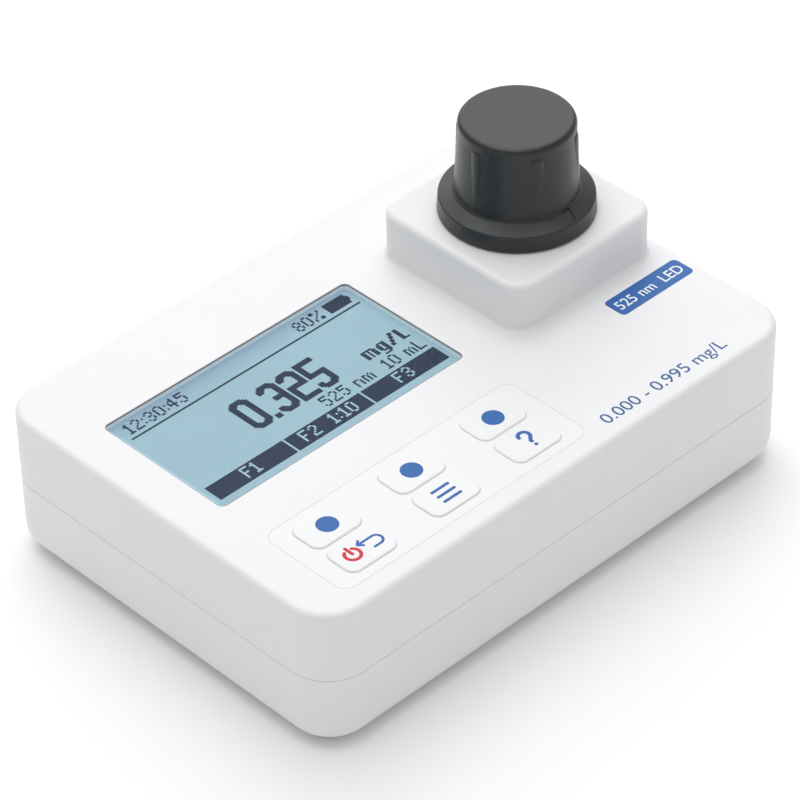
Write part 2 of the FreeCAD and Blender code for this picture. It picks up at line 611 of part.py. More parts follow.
def keypad_mat():
    length = 2 * KEY_PITCH_X + KEY_LENGTH + 2 * MAT_MARGIN
    depth = KEY_PITCH_Y + KEY_DEPTH + MAT_MARGIN
    mat = rounded_slab(PANEL_X, PANEL_Y, length, depth, MAT_MARGIN, BOARD_TOP_Z, BOARD_TOP_Z + MAT_THICKNESS)
    holes = [post(x, y, DOME_R + SEAT_GAP, BOARD_TOP_Z - OVERCUT, BOARD_TOP_Z + MAT_THICKNESS + OVERCUT)
             for x, y in key_centres().values()]
    return mat.cut(holes)


# Circuit board and what is soldered to it

def main_board():
    board = box(BOARD_X0, BOARD_X1, BOARD_Y0, BOARD_Y1, BOARD_LOW_Z, BOARD_TOP_Z)
    cuts = [post(x, y, CASE_BOSS_R + 3 * MOVING_GAP, BOARD_LOW_Z - OVERCUT, BOARD_TOP_Z + OVERCUT)
            for x, y in quadrants(CASE_SCREW_X, CASE_SCREW_Y)]
    cuts += [post(x, y, SMALL_SCREW_R + SEAT_GAP, BOARD_LOW_Z - OVERCUT, BOARD_TOP_Z + OVERCUT)
             for x, y in board_posts()]
    return board.cut(cuts)


def board_screws():
    return [screw(x, y, BOARD_LOW_Z, 1, SMALL_SCREW_R, SMALL_SCREW_HEAD_R, SMALL_SCREW_HEAD_HEIGHT,
                  BOARD_THICKNESS + SMALL_SCREW_BITE) for x, y in board_posts()]


def processor_chip():
    chip = rounded_slab(WINDOW_X, PANEL_Y, CHIP_SIZE, CHIP_SIZE, CHIP_HEIGHT / 2,
                        BOARD_LOW_Z - CHIP_HEIGHT, BOARD_LOW_Z)
    return chip.makeChamfer(CHIP_HEIGHT / 5, edges_at(chip, BOARD_LOW_Z - CHIP_HEIGHT))


def beeper():
    x = BOARD_X1 - BEEPER_R - BOARD_POST_INSET
    can = post(x, PANEL_Y, BEEPER_R, BOARD_LOW_Z - BEEPER_HEIGHT, BOARD_LOW_Z)
    sound_hole = post(x, PANEL_Y, BEEPER_R / 5, BOARD_LOW_Z - BEEPER_HEIGHT - OVERCUT,
                      BOARD_LOW_Z - BEEPER_HEIGHT / 2)
    return can.cut(sound_hole)


# Cuvette holder with its lamp arm and detector arm

LAMP_END_X = BLOCK_X - HOLDER_SIZE / 2 - LAMP_ARM_LENGTH
DETECTOR_END_X = BLOCK_X + HOLDER_SIZE / 2 + DETECTOR_ARM_LENGTH
SPLITTER_X = LAMP_END_X + LENS_SEAT_DEPTH + SPLITTER_STEP


def splitter_plate(length, width, thickness):
    """A plate that stands across the light path at 45 degrees."""
    plate = Part.makeBox(length, thickness, width, Vector(-length / 2, -thickness / 2, -width / 2))
    plate.rotate(Vector(0, 0, 0), Vector(0, 0, 1), 45)
    plate.translate(Vector(SPLITTER_X, BLOCK_Y, LIGHT_Z))
    return plate


def cuvette_holder():
    half = HOLDER_SIZE / 2
    body = rounded_slab(BLOCK_X, BLOCK_Y, HOLDER_SIZE, HOLDER_SIZE, HOLDER_CORNER_R,
                        INNER_FLOOR_Z, BLOCK_ROOF_Z)
    collar = post(BLOCK_X, BLOCK_Y, COLLAR_R, BLOCK_ROOF_Z - OVERCUT, COLLAR_TOP_Z)
    collar = collar.makeFillet(COLLAR_EDGE, edges_at(collar, COLLAR_TOP_Z))
    arm = box(LAMP_END_X, DETECTOR_END_X, BLOCK_Y - ARM_SIZE / 2, BLOCK_Y + ARM_SIZE / 2,
              LIGHT_Z - ARM_SIZE / 2, LIGHT_Z + ARM_SIZE / 2)
    ear_low = INNER_FLOOR_Z + EAR_RISE
    ears = [post(x, y, EAR_R, ear_low, ear_low + EAR_THICKNESS) for x, y in holder_ears()]
    bridge = box(BLOCK_X - EAR_R, BLOCK_X + EAR_R, BLOCK_Y - half - EAR_REACH, BLOCK_Y + half + EAR_REACH,
                 ear_low, ear_low + EAR_THICKNESS)
    holder = body.fuse([collar, arm, bridge] + ears)
    well_top = COLLAR_TOP_Z + OVERCUT
    cuts = [post(BLOCK_X, BLOCK_Y, WELL_R, INNER_FLOOR_Z + WELL_FLOOR, well_top)]
    cuts.append(rod(LAMP_CHANNEL_R, (LAMP_END_X - OVERCUT, BLOCK_Y, LIGHT_Z), (1, 0, 0),
                    OVERCUT + LENS_SEAT_DEPTH))
    cuts.append(rod(APERTURE_R, (LAMP_END_X, BLOCK_Y, LIGHT_Z), (1, 0, 0), DETECTOR_END_X - LAMP_END_X))
    detector_depth = FILTER_THICKNESS + DETECTOR_HEIGHT
    cuts.append(rod(FILTER_R + RUNNING_GAP, (DETECTOR_END_X - detector_depth, BLOCK_Y, LIGHT_Z), (1, 0, 0),
                    detector_depth + OVERCUT))
    cuts.append(rod(REFERENCE_R + RUNNING_GAP, (SPLITTER_X, BLOCK_Y, LIGHT_Z), (0, 1, 0),
                    ARM_SIZE / 2 + OVERCUT))
    slot = splitter_plate(SPLITTER_SIZE + 2 * RUNNING_GAP, SPLITTER_SIZE + 2 * RUNNING_GAP,
                          SPLITTER_THICKNESS + 2 * RUNNING_GAP)
    above = slot.copy()
    above.translate(Vector(0, 0, ARM_SIZE / 2))
    cuts += [slot, above]
    cuts += [post(x, y, SMALL_SCREW_R + SEAT_GAP, ear_low - OVERCUT, ear_low + EAR_THICKNESS + OVERCUT)
             for x, y in holder_ears()]
    for end_x, inward in ((LAMP_END_X, 1), (DETECTOR_END_X, -1)):
        for y, z in sensor_screw_places():
            cuts.append(rod(SMALL_SCREW_R + RUNNING_GAP, (end_x - inward * OVERCUT, y, z), (inward, 0, 0),
                            OVERCUT + SMALL_SCREW_BITE + SEAT_GAP))
    return holder.cut(cuts)


def sensor_screw_places():
    """The two screws, on a diagonal, that hold each small board to the end of its arm."""
    step = ARM_SIZE / 2 - SMALL_SCREW_HEAD_R
    return [(BLOCK_Y - step, LIGHT_Z - step), (BLOCK_Y + step, LIGHT_Z + step)]


def holder_screws():
    return [screw(x, y, INNER_FLOOR_Z + EAR_RISE + EAR_THICKNESS, -1, SMALL_SCREW_R, SMALL_SCREW_HEAD_R,
                  SMALL_SCREW_HEAD_HEIGHT, EAR_THICKNESS + SMALL_SCREW_BITE) for x, y in holder_ears()]


def sensor_board(face_x, outward):
    """A small board on the end of an arm, with two screw holes."""
    x0, x1 = sorted((face_x, face_x + outward * BOARD_THICKNESS))
    half = SENSOR_BOARD_SIZE / 2
    top = LIGHT_Z + ARM_SIZE / 2
    board = box(x0, x1, BLOCK_Y - half, BLOCK_Y + half, top - SENSOR_BOARD_SIZE, top)
    holes = [rod(SMALL_SCREW_R + SEAT_GAP, (x0 - OVERCUT, y, z), (1, 0, 0), x1 - x0 + 2 * OVERCUT)
             for y, z in sensor_screw_places()]
    return board.cut(holes)


def sensor_screws(face_x, outward):
    """The pair of screws of one small board."""
    screws = []
    for y, z in sensor_screw_places():
        seat_x = face_x + outward * BOARD_THICKNESS
        shank = rod(SMALL_SCREW_R, (seat_x, y, z), (-outward, 0, 0), BOARD_THICKNESS + SMALL_SCREW_BITE)
        head = rod(SMALL_SCREW_HEAD_R, (seat_x, y, z), (outward, 0, 0), SMALL_SCREW_HEAD_HEIGHT)
        screws.append(head.fuse(shank))
    return screws


def lamp_led():
    straight = LAMP_LENGTH - LAMP_R
    barrel = rod(LAMP_R, (LAMP_END_X, BLOCK_Y, LIGHT_Z), (1, 0, 0), straight)
    rim = rod(LAMP_R + SEAT_GAP * 4, (LAMP_END_X, BLOCK_Y, LIGHT_Z), (1, 0, 0), SMALL_SCREW_HEAD_HEIGHT)
    dome = Part.makeSphere(LAMP_R, Vector(LAMP_END_X + straight, BLOCK_Y, LIGHT_Z))
    return barrel.fuse([rim, dome])


def lamp_lens():
    """A lens, flat on its seat and domed towards the lamp."""
    radius = LAMP_CHANNEL_R - RUNNING_GAP
    seat_x = LAMP_END_X + LENS_SEAT_DEPTH
    rim = LENS_THICKNESS / 2
    sag = LENS_THICKNESS - rim
    bend = (radius ** 2 + sag ** 2) / (2 * sag)
    barrel = rod(radius, (seat_x - LENS_THICKNESS, BLOCK_Y, LIGHT_Z), (1, 0, 0), LENS_THICKNESS)
    ball = Part.makeSphere(bend, Vector(seat_x - LENS_THICKNESS + bend, BLOCK_Y, LIGHT_Z))
    return barrel.common(ball)


def colour_filter():
    seat_x = DETECTOR_END_X - DETECTOR_HEIGHT - FILTER_THICKNESS
    return rod(FILTER_R, (seat_x, BLOCK_Y, LIGHT_Z), (1, 0, 0), FILTER_THICKNESS)


def sample_detector():
    return rod(DETECTOR_R, (DETECTOR_END_X, BLOCK_Y, LIGHT_Z), (-1, 0, 0), DETECTOR_HEIGHT)


def reference_detector():
    face_y = BLOCK_Y + ARM_SIZE / 2
    barrel = rod(REFERENCE_R, (SPLITTER_X, face_y - REFERENCE_HEIGHT, LIGHT_Z), (0, 1, 0), REFERENCE_HEIGHT)
    rim = rod(REFERENCE_R + SEAT_GAP * 8, (SPLITTER_X, face_y, LIGHT_Z), (0, 1, 0), SEAT_GAP * 8)
    return barrel.fuse(rim)


# Light shield cap and the felt ring that it stands on

def flute_cutter(foot_z, rim_z):
    """A leaning round bar that cuts one flute: deepest at its flat top and run out near the foot."""
    top_z = CAP_BASE_Z + CAP_HEIGHT - FLUTE_TOP_DROP
    low_z = foot_z + FLUTE_RISE
    low_r = CAP_FOOT_R - (CAP_FOOT_R - CAP_RIM_R) * FLUTE_RISE / (rim_z - foot_z)
    top = Vector(BLOCK_X + FLUTE_TOP_R + FLUTE_R, BLOCK_Y, top_z)
    low = Vector(BLOCK_X + low_r + FLUTE_R, BLOCK_Y, low_z)
    lean = top - low
    bar = Part.makeCylinder(FLUTE_R, lean.Length * 2, low - lean / 2, lean)
    return bar.common(post(BLOCK_X, BLOCK_Y, SKIRT_R + FLUTE_R, low_z - FLUTE_RISE / 3, top_z))


def shield_cap():
    z0 = CAP_BASE_Z
    skirt_z = z0 + SKIRT_HEIGHT
    foot_z = skirt_z + CAP_SHOULDER_RISE
    top_z = z0 + CAP_HEIGHT
    rim_z = top_z - FLUTE_TOP_DROP
    lip_r = RING_OUTER_R + CAP_FLOAT
    bore_r = FLUTE_TOP_R - CAP_WALL
    socket_z = COLLAR_TOP_Z + MOVING_GAP
    skirt_top_r = SKIRT_R - SKIRT_DRAFT
    outline = [(lip_r, z0), (SKIRT_R - SKIRT_EDGE, z0), (SKIRT_R, z0 + SKIRT_EDGE),
               (skirt_top_r, skirt_z - SKIRT_EDGE / 2), (skirt_top_r - SKIRT_EDGE / 2, skirt_z),
               (CAP_FOOT_R, foot_z), (CAP_RIM_R, rim_z), (CAP_RIM_R, top_z), (0, top_z),
               (0, top_z - CAP_ROOF), (bore_r, top_z - CAP_ROOF), (bore_r, socket_z),
               (RING_INNER_R, socket_z), (RING_INNER_R, CAP_SEAT_Z), (lip_r, CAP_SEAT_Z)]
    cap = revolved(outline, BLOCK_X, BLOCK_Y)
    cap = cap.makeFillet(CAP_RIM_EDGE_R, edges_at(cap, top_z))
    cap = cap.makeFillet(CAP_FOOT_FILLET_R, edges_at(cap, foot_z))
    pivot = Vector(BLOCK_X, BLOCK_Y, 0)
    cuts = []
    for n in range(FLUTE_COUNT):
        flute = flute_cutter(foot_z, rim_z)
        flute.rotate(pivot, Vector(0, 0, 1), CAP_TURN - 90.0 + (n + 0.5) * 360.0 / FLUTE_COUNT)
        cuts.append(flute)
    floor_z = skirt_z + POINTER_FLOOR
    base_y = BLOCK_Y - CAP_FOOT_R
    corners = [Vector(BLOCK_X - POINTER_HALF_WIDTH, base_y, floor_z),
               Vector(BLOCK_X + POINTER_HALF_WIDTH, base_y, floor_z),
               Vector(BLOCK_X, BLOCK_Y - SKIRT_R, floor_z)]
    pointer = Part.Face(Part.makePolygon(corners + corners[:1]))
    pointer = pointer.extrude(Vector(0, 0, CAP_SHOULDER_RISE + CAP_FOOT_FILLET_R))
    pointer.rotate(pivot, Vector(0, 0, 1), CAP_TURN)
    cuts.append(pointer)
    return cap.cut(cuts)


def light_seal_ring():
    outline = [(RING_INNER_R, BLOCK_TOP_Z), (RING_OUTER_R, BLOCK_TOP_Z), (RING_OUTER_R, CAP_SEAT_Z),
               (RING_INNER_R, CAP_SEAT_Z)]
    return revolved(outline, BLOCK_X, BLOCK_Y)


# Battery cells, their contacts and the hinged door

def cell_places():
    """The x of each cell and the way its positive end points."""
    middle = (CELL_COUNT - 1) / 2
    return [(BAY_X + (n - middle) * CELL_PITCH, 1 if n % 2 else -1) for n in range(CELL_COUNT)]


def battery_cells():
    cells = []
    for x, way in cell_places():
        start = CELL_Y0 + CELL_NUB_LENGTH if way < 0 else BAY_Y1 - CONTACT_THICKNESS - CELL_NUB_LENGTH
        nub_end = start + way * CELL_NUB_LENGTH
        can = rod(CELL_R, (x, start, CELL_Z), (0, -way, 0), CELL_LENGTH)
        nub = rod(CELL_NUB_R, (x, nub_end, CELL_Z), (0, -way, 0), CELL_NUB_LENGTH)
        cells.append(can.fuse(nub))
    return cells


def battery_plates():
    """The flat contacts at the positive ends."""
    plates = []
    half = CONTACT_SIZE / 2
    for x, way in cell_places():
        y0 = BAY_Y0 if way < 0 else BAY_Y1 - CONTACT_THICKNESS
        plates.append(box(x - half, x + half, y0, y0 + CONTACT_THICKNESS, CELL_Z - half, CELL_Z + half))
    return plates


def battery_springs():
    """The bent leaf contacts at the negative ends: a flat back and a leaf that bows to the cell."""
    springs = []
    half = CONTACT_SIZE / 2
    for x, way in cell_places():
        wall_y = BAY_Y1 if way < 0 else BAY_Y0
        reach = way * (SPRING_REACH + CONTACT_THICKNESS)
        thick = way * CONTACT_THICKNESS
        points = [(wall_y, -half), (wall_y + thick, -half), (wall_y + reach, 0), (wall_y + thick, half),
                  (wall_y, half), (wall_y, half - CONTACT_THICKNESS), (wall_y + reach - 2 * thick, 0),
                  (wall_y, -half + CONTACT_THICKNESS)]
        corners = [Vector(x - half / 2, y, CELL_Z + z) for y, z in points]
        face = Part.Face(Part.makePolygon(corners + corners[:1]))
        springs.append(face.extrude(Vector(half, 0, 0)))
    return springs


def gasket_strip(low, high):
    """The closed strip between the door and the rim of the bay."""
    middle = (BAY_Y0 + BAY_Y1) / 2
    outer_x = BAY_WIDTH + BAY_WALL + DOOR_GASKET_WIDTH
    outer_y = BAY_LENGTH + BAY_WALL + DOOR_GASKET_WIDTH
    outer = rounded_slab(BAY_X, middle, outer_x, outer_y, BAY_WALL, low, high)
    inner = rounded_slab(BAY_X, middle, outer_x - 2 * DOOR_GASKET_WIDTH,
                         outer_y - 2 * DOOR_GASKET_WIDTH, BAY_WALL - DOOR_GASKET_WIDTH / 2,
                         low - OVERCUT, high + OVERCUT)
    return outer.cut(inner)


def battery_door():
    half = DOOR_WIDTH / 2
    plate = box(BAY_X - half, BAY_X + half, HINGE_Y, DOOR_END_Y, FLOOR_Z, INNER_FLOOR_Z)
    knuckle = rod(KNUCKLE_R, (BAY_X - half, HINGE_Y, HINGE_Z), (1, 0, 0), DOOR_WIDTH)
    reach = half + MOVING_GAP + PIN_REACH
    pins = rod(PIN_R, (BAY_X - reach, HINGE_Y, HINGE_Z), (1, 0, 0), 2 * reach)
    lip_y = BAY_Y1 - MOVING_GAP
    lip = box(BAY_X - DOOR_LIP_WIDTH / 2, BAY_X + DOOR_LIP_WIDTH / 2,
              lip_y - DOOR_LIP_THICKNESS, lip_y, FLOOR_Z + WALL / 2, INNER_FLOOR_Z + DOOR_LIP_HEIGHT)
    door = plate.fuse([knuckle, pins, lip])
    groove = gasket_strip(INNER_FLOOR_Z - DOOR_GASKET_HEIGHT + SEAT_GAP, INNER_FLOOR_Z + OVERCUT)
    return door.cut(groove)


def door_gasket():
    low = INNER_FLOOR_Z - DOOR_GASKET_HEIGHT + SEAT_GAP
    return gasket_strip(low, low + DOOR_GASKET_HEIGHT)


save("top_shell", top_shell())
save("bottom_shell", bottom_shell())
save("housing_gasket", housing_gasket())
save("case_screws", case_screws())
save("rubber_feet", rubber_feet())
save("display_window", display_window())
save("lcd_glass", display_plate(GLASS_TOP_Z - GLASS_THICKNESS, GLASS_TOP_Z))
save("lcd_backlight", display_plate(BOARD_TOP_Z + FRAME_FLOOR, GLASS_TOP_Z - GLASS_THICKNESS))
save("lcd_frame", lcd_frame())
save("lcd_ribbon", lcd_ribbon())
save("ribbon_socket", ribbon_socket())
save("keypad_panel", keypad_panel())
save("keypad_mat", keypad_mat())
for key_name, (key_x, key_y) in key_centres().items():
    save("key_" + key_name, key(key_x, key_y))
    save("dome_" + key_name, switch_dome(key_x, key_y))
save("main_board", main_board())
save("board_screws", board_screws())
save("processor_chip", processor_chip())
save("beeper", beeper())
save("cuvette_holder", cuvette_holder())
save("holder_screws", holder_screws())
save("lamp_board", sensor_board(LAMP_END_X, -1))
save("lamp_led", lamp_led())
save("lamp_lens", lamp_lens())
save("beam_splitter", splitter_plate(SPLITTER_SIZE, SPLITTER_SIZE, SPLITTER_THICKNESS))
save("reference_detector", reference_detector())
save("colour_filter", colour_filter())
save("sample_detector", sample_detector())
save("detector_board", sensor_board(DETECTOR_END_X, 1))
save("sensor_screws", sensor_screws(LAMP_END_X, -1) + sensor_screws(DETECTOR_END_X, 1))
save("shield_cap", shield_cap())
save("light_seal_ring", light_seal_ring())
save("battery_cells", battery_cells())
save("battery_plates", battery_plates())
save("battery_springs", battery_springs())
save("battery_door", battery_door())
save("door_gasket", door_gasket())
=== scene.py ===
"""The looks of a portable photometer: its finishes, display, key prints, cells and studio stage.

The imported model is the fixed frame. All lengths are in metres.
"""
import math

import bmesh
import bpy
from mathutils import Matrix, Vector


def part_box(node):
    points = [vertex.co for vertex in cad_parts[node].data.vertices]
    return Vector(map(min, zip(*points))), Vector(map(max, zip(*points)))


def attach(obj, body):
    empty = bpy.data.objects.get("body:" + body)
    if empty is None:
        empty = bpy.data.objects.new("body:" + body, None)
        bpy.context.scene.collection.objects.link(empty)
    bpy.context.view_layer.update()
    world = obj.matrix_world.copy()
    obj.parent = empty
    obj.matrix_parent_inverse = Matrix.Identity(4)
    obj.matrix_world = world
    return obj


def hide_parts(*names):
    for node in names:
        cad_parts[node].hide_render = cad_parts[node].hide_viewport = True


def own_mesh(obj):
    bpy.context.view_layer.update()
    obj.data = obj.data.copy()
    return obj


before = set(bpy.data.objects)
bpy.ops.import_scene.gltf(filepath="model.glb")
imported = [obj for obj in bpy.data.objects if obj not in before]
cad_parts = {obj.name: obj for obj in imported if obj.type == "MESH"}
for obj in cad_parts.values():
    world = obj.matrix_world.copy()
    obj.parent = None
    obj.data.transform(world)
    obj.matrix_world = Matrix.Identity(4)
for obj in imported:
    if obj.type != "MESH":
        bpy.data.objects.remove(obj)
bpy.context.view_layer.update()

bl_info = {
    "name": "Portable photometer",
    "version": (1, 0, 0),
    "blender": (4, 5, 0),
    "location": "3D View > Sidebar > Photometer",
    "description": "Dresses the photometer with its finishes, display, prints and stage",
    "category": "Object",
}

MM = 0.001
KEY_NAMES = ("soft_left", "soft_middle", "soft_right", "power", "menu", "help")
FACE_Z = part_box("keypad_panel")[1].z
GLASS_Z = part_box("lcd_glass")[1].z
KEY_TOP_Z = FACE_Z + 0.36 * MM
FILM = 0.02 * MM  # ink stands this far above its face, and reaches as far below it
INK_LOW, INK_HIGH = KEY_TOP_Z - FILM, KEY_TOP_Z + FILM
SYMBOL_OFFSET = Vector((0.22, 0.22, 0)) * MM
FILM_GRAIN = {"grain": 3600.0, "depth": 0.006 * MM}
SMOOTH_ANGLE = math.radians(40.0)
WELD = 1e-7  # vertices this close to each other become one
CAPITAL_SHARE = 0.73  # the height of a capital, as a share of the font's size


def box_of(node):
    """The lowest and highest corner of a CAD node, and its centre."""
    low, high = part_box(node)
    return low, high, (low + high) / 2


def off(point, x, y):
    """A place some millimetres from a point."""
    return (point[0] + x * MM, point[1] + y * MM)


# Shader maths

class Wire:
    """A socket of a material that takes part in Python expressions."""

    def __init__(self, graph, socket):
        self.graph = graph
        self.socket = socket

    def _math(self, operation, *values):
        return self.graph.node("ShaderNodeMath", {"operation": operation}, values)

    def __add__(self, other):
        return self._math("ADD", self, other)

    def __radd__(self, other):
        return self._math("ADD", other, self)

    def __sub__(self, other):
        return self._math("SUBTRACT", self, other)

    def __rsub__(self, other):
        return self._math("SUBTRACT", other, self)

    def __mul__(self, other):
        return self._math("MULTIPLY", self, other)

    def __rmul__(self, other):
        return self._math("MULTIPLY", other, self)

    def __truediv__(self, other):
        return self._math("DIVIDE", self, other)

    def __gt__(self, other):
        return self._math("GREATER_THAN", self, other)

    def __lt__(self, other):
        return self._math("LESS_THAN", self, other)

    def __abs__(self):
        return self._math("ABSOLUTE", self)


class Finish:
    """A new material with a Principled shader and a method that adds any other node."""

    def __init__(self, name, color, roughness, **constants):
        self.material = bpy.data.materials.new(name)
        self.material.use_nodes = True
        self.tree = self.material.node_tree
        self.shader = self.tree.nodes["Principled BSDF"]
        self.shader.inputs["Base Color"].default_value = (*color[:3], 1.0)
        self.shader.inputs["Roughness"].default_value = roughness
        for socket, value in constants.items():
            self.shader.inputs[socket.replace("_", " ")].default_value = value
        coords = self.tree.nodes.new("ShaderNodeTexCoord")
        self.place = Wire(self, coords.outputs["Object"])

    def node(self, kind, settings=None, inputs=(), output=0):
        """Adds a node: its settings first, then the values or links of its sockets."""
        made = self.tree.nodes.new(kind)
        for name, value in (settings or {}).items():
            setattr(made, name, value)
        pairs = inputs.items() if isinstance(inputs, dict) else enumerate(inputs)
        for key, value in pairs:
            self.link(value, made.inputs[key])
        return Wire(self, made.outputs[output])

    def link(self, value, socket):
        """Links a wire to a socket, or sets a plain value on it."""
        if isinstance(value, Wire):
            self.tree.links.new(value.socket, socket)
        else:
            socket.default_value = value

    def axis(self, name):
        """One coordinate of the surface point, in metres."""
        return self.node("ShaderNodeSeparateXYZ", inputs=[self.place], output=name)

    def noise(self, scale, detail=2.0, roughness=0.5):
        """Soft noise from 0 to 1, with its scale in cycles per metre."""
        sockets = {"Vector": self.place, "Scale": scale, "Detail": detail, "Roughness": roughness}
        return self.node("ShaderNodeTexNoise", inputs=sockets)

    def cells(self, scale):
        """The distance to the nearest of a field of random points."""
        return self.node("ShaderNodeTexVoronoi", inputs={"Vector": self.place, "Scale": scale})

    def most(self, *values):
        """The larger of two values."""
        return self.node("ShaderNodeMath", {"operation": "MAXIMUM"}, values)

    def least(self, *values):
        """The smaller of two values."""
        return self.node("ShaderNodeMath", {"operation": "MINIMUM"}, values)

    def root(self, value):
        """The square root of a value."""
        return self.node("ShaderNodeMath", {"operation": "SQRT"}, [value])

    def outline(self, low, high, radius):
        """The distance to an upright rounded outline, less than zero inside it."""
        sides = []
        for index, name in enumerate("XY"):
            middle = (low[index] + high[index]) / 2
            reach = (high[index] - low[index]) / 2 - radius
            sides.append(abs(self.axis(name) - middle) - reach)
        x, y = (self.most(side, 0.0) for side in sides)
        return self.root(x * x + y * y) + self.least(self.most(*sides), 0.0) - radius

    def blend(self, mask, first, second):
        """A colour between two colours by a mask."""
        settings = {"data_type": "RGBA"}
        sockets = {"Factor": mask, 6: as_color(first), 7: as_color(second)}
        return self.node("ShaderNodeMix", settings, sockets, output=2)

    def color(self, value):
        """Feeds the base colour."""
        self.link(value, self.shader.inputs["Base Color"])

    def mottle(self, mask, color, dark, light):
        """Feeds the base colour with two tints of a colour."""
        self.color(self.blend(mask, tint(color, dark), tint(color, light)))

    def rough(self, value):
        """Feeds the roughness."""
        self.link(value, self.shader.inputs["Roughness"])

    def uneven(self, mask, roughness, spread):
        """Feeds the roughness with a value that varies about its middle."""
        self.rough(roughness - spread / 2 + spread * mask)

    def opacity(self, value):
        """Feeds the alpha."""
        self.link(value, self.shader.inputs["Alpha"])

    def glow(self, value):
        """Feeds the emission colour, at full strength."""
        self.link(value, self.shader.inputs["Emission Color"])
        self.shader.inputs["Emission Strength"].default_value = 1.0

    def bump(self, height, distance):
        """Feeds a height field to the shader's normal."""
        sockets = {"Height": height, "Distance": distance, "Strength": 1.0}
        self.link(self.node("ShaderNodeBump", inputs=sockets), self.shader.inputs["Normal"])


def as_color(value):
    """A colour with its fourth number, or a wire as it is."""
    return value if isinstance(value, Wire) else (*value[:3], 1.0)


def tint(color, factor):
    """A colour made lighter or darker by a factor."""
    return tuple(min(1.0, part * factor) for part in color[:3])


def moulded(name, color, roughness, grain=2600.0, depth=0.012 * MM, spread=0.06):
    """Moulded plastic with a fine spark-eroded grain and slightly uneven gloss."""
    finish = Finish(name, color, roughness)
    finish.mottle(finish.noise(55.0, detail=3.0), color, dark=0.985, light=1.015)
    finish.uneven(finish.noise(420.0), roughness, spread)
    blur = 0.6
    finish.bump(finish.cells(grain) + blur * finish.noise(grain * blur), depth)
    return finish.material


def printed(name, color):
    """Screen-printed ink with a faint unevenness."""
    roughness = 0.42
    finish = Finish(name, color, roughness, Specular_IOR_Level=0.25)
    patch = finish.noise(900.0, detail=3.0)
    finish.mottle(patch, color, dark=0.94, light=1.05)
    finish.uneven(finish.noise(2200.0), roughness, spread=0.06)
    finish.bump(patch, 0.004 * MM)
    return finish.material


def metal(name, color, roughness):
    """Plated or turned metal with fine streaks."""
    finish = Finish(name, color, roughness, Metallic=1.0)
    lay = finish.noise(900.0, detail=4.0, roughness=0.7)
    finish.mottle(lay, color, dark=0.88, light=1.06)
    finish.uneven(lay, roughness, spread=0.16)
    finish.bump(lay, 0.004 * MM)
    return finish.material


def soft(name, color, roughness=0.85, grain=3200.0):
    """Rubber, silicone or felt: dull, with a coarse grain."""
    finish = Finish(name, color, roughness)
    patch = finish.noise(260.0, detail=4.0, roughness=0.6)
    finish.mottle(patch, color, dark=0.85, light=1.15)
    finish.bump(finish.noise(grain, detail=4.0, roughness=0.7), 0.05 * MM)
    return finish.material


def clear(name, color, roughness, opacity):
    """A see-through piece that still takes a highlight."""
    finish = Finish(name, color, roughness, IOR=1.5)
    smear = finish.noise(38.0, detail=3.0)
    finish.rough(roughness + 0.05 * smear)
    finish.opacity(opacity - opacity / 8 + opacity / 4 * smear)
    return finish.material


# Modelling by hand, in code

def start_fresh():
    """Leaves nothing selected and no mode active."""
    if bpy.context.object and bpy.context.object.mode != "OBJECT":
        bpy.ops.object.mode_set(mode="OBJECT")
    bpy.ops.object.select_all(action="DESELECT")


def make_active(piece):
    """Makes a piece the only selected object."""
    start_fresh()
    piece.select_set(True)
    bpy.context.view_layer.objects.active = piece


def named(name):
    """Gives the active object and its mesh a name."""
    piece = bpy.context.object
    piece.name = name
    piece.data.name = name
    return piece


def settle(name):
    """Names the active object and moves its place into its mesh."""
    piece = named(name)
    bpy.ops.object.transform_apply(location=True, rotation=True, scale=True)
    return piece


def apply_modifier(kind, **settings):
    """Adds a modifier to the active object and applies it."""
    bpy.ops.object.modifier_add(type=kind)
    added = bpy.context.object.modifiers[-1]
    for name, value in settings.items():
        setattr(added, name, value)
    bpy.ops.object.modifier_apply(modifier=added.name)


def pick(kind, test):
    """In edit mode, selects just the vertices, edges or faces that pass a test."""
    bpy.ops.mesh.select_mode(type=kind)
    bpy.ops.mesh.select_all(action="DESELECT")
    shape = bmesh.from_edit_mesh(bpy.context.object.data)
    parts = {"VERT": shape.verts, "EDGE": shape.edges, "FACE": shape.faces}[kind]
    for part in parts:
        part.select_set(bool(test(part)))
    shape.select_flush_mode()
    bmesh.update_edit_mesh(bpy.context.object.data)


def edit_all():
    """Enters edit mode with the whole mesh selected."""
    bpy.ops.object.mode_set(mode="EDIT")
    bpy.ops.mesh.select_all(action="SELECT")


def close_up(weld=True):
    """Joins the vertices that meet, turns all faces outwards and leaves edit mode."""
    bpy.ops.mesh.select_all(action="SELECT")
    if weld:
        bpy.ops.mesh.remove_doubles(threshold=WELD)
    bpy.ops.mesh.normals_make_consistent(inside=False)
    bpy.ops.object.mode_set(mode="OBJECT")


def soften(test, width, segments):
    """In edit mode, rounds the edges that pass a test."""
    if width > 0:
        pick("EDGE", test)
        bpy.ops.mesh.bevel(offset=width, segments=segments, profile=0.5, affect="EDGES")


def near(a, b, reach=1e-6):
    """Whether two lengths are the same."""
    return abs(a - b) < reach


def level_at(z):
    """A test for edges that lie level at a height."""
    return lambda edge: all(near(v.co.z, z) for v in edge.verts)


def upright(edge):
    """Whether an edge stands straight up."""
    a, b = (v.co for v in edge.verts)
    return near(a.x, b.x) and near(a.y, b.y)


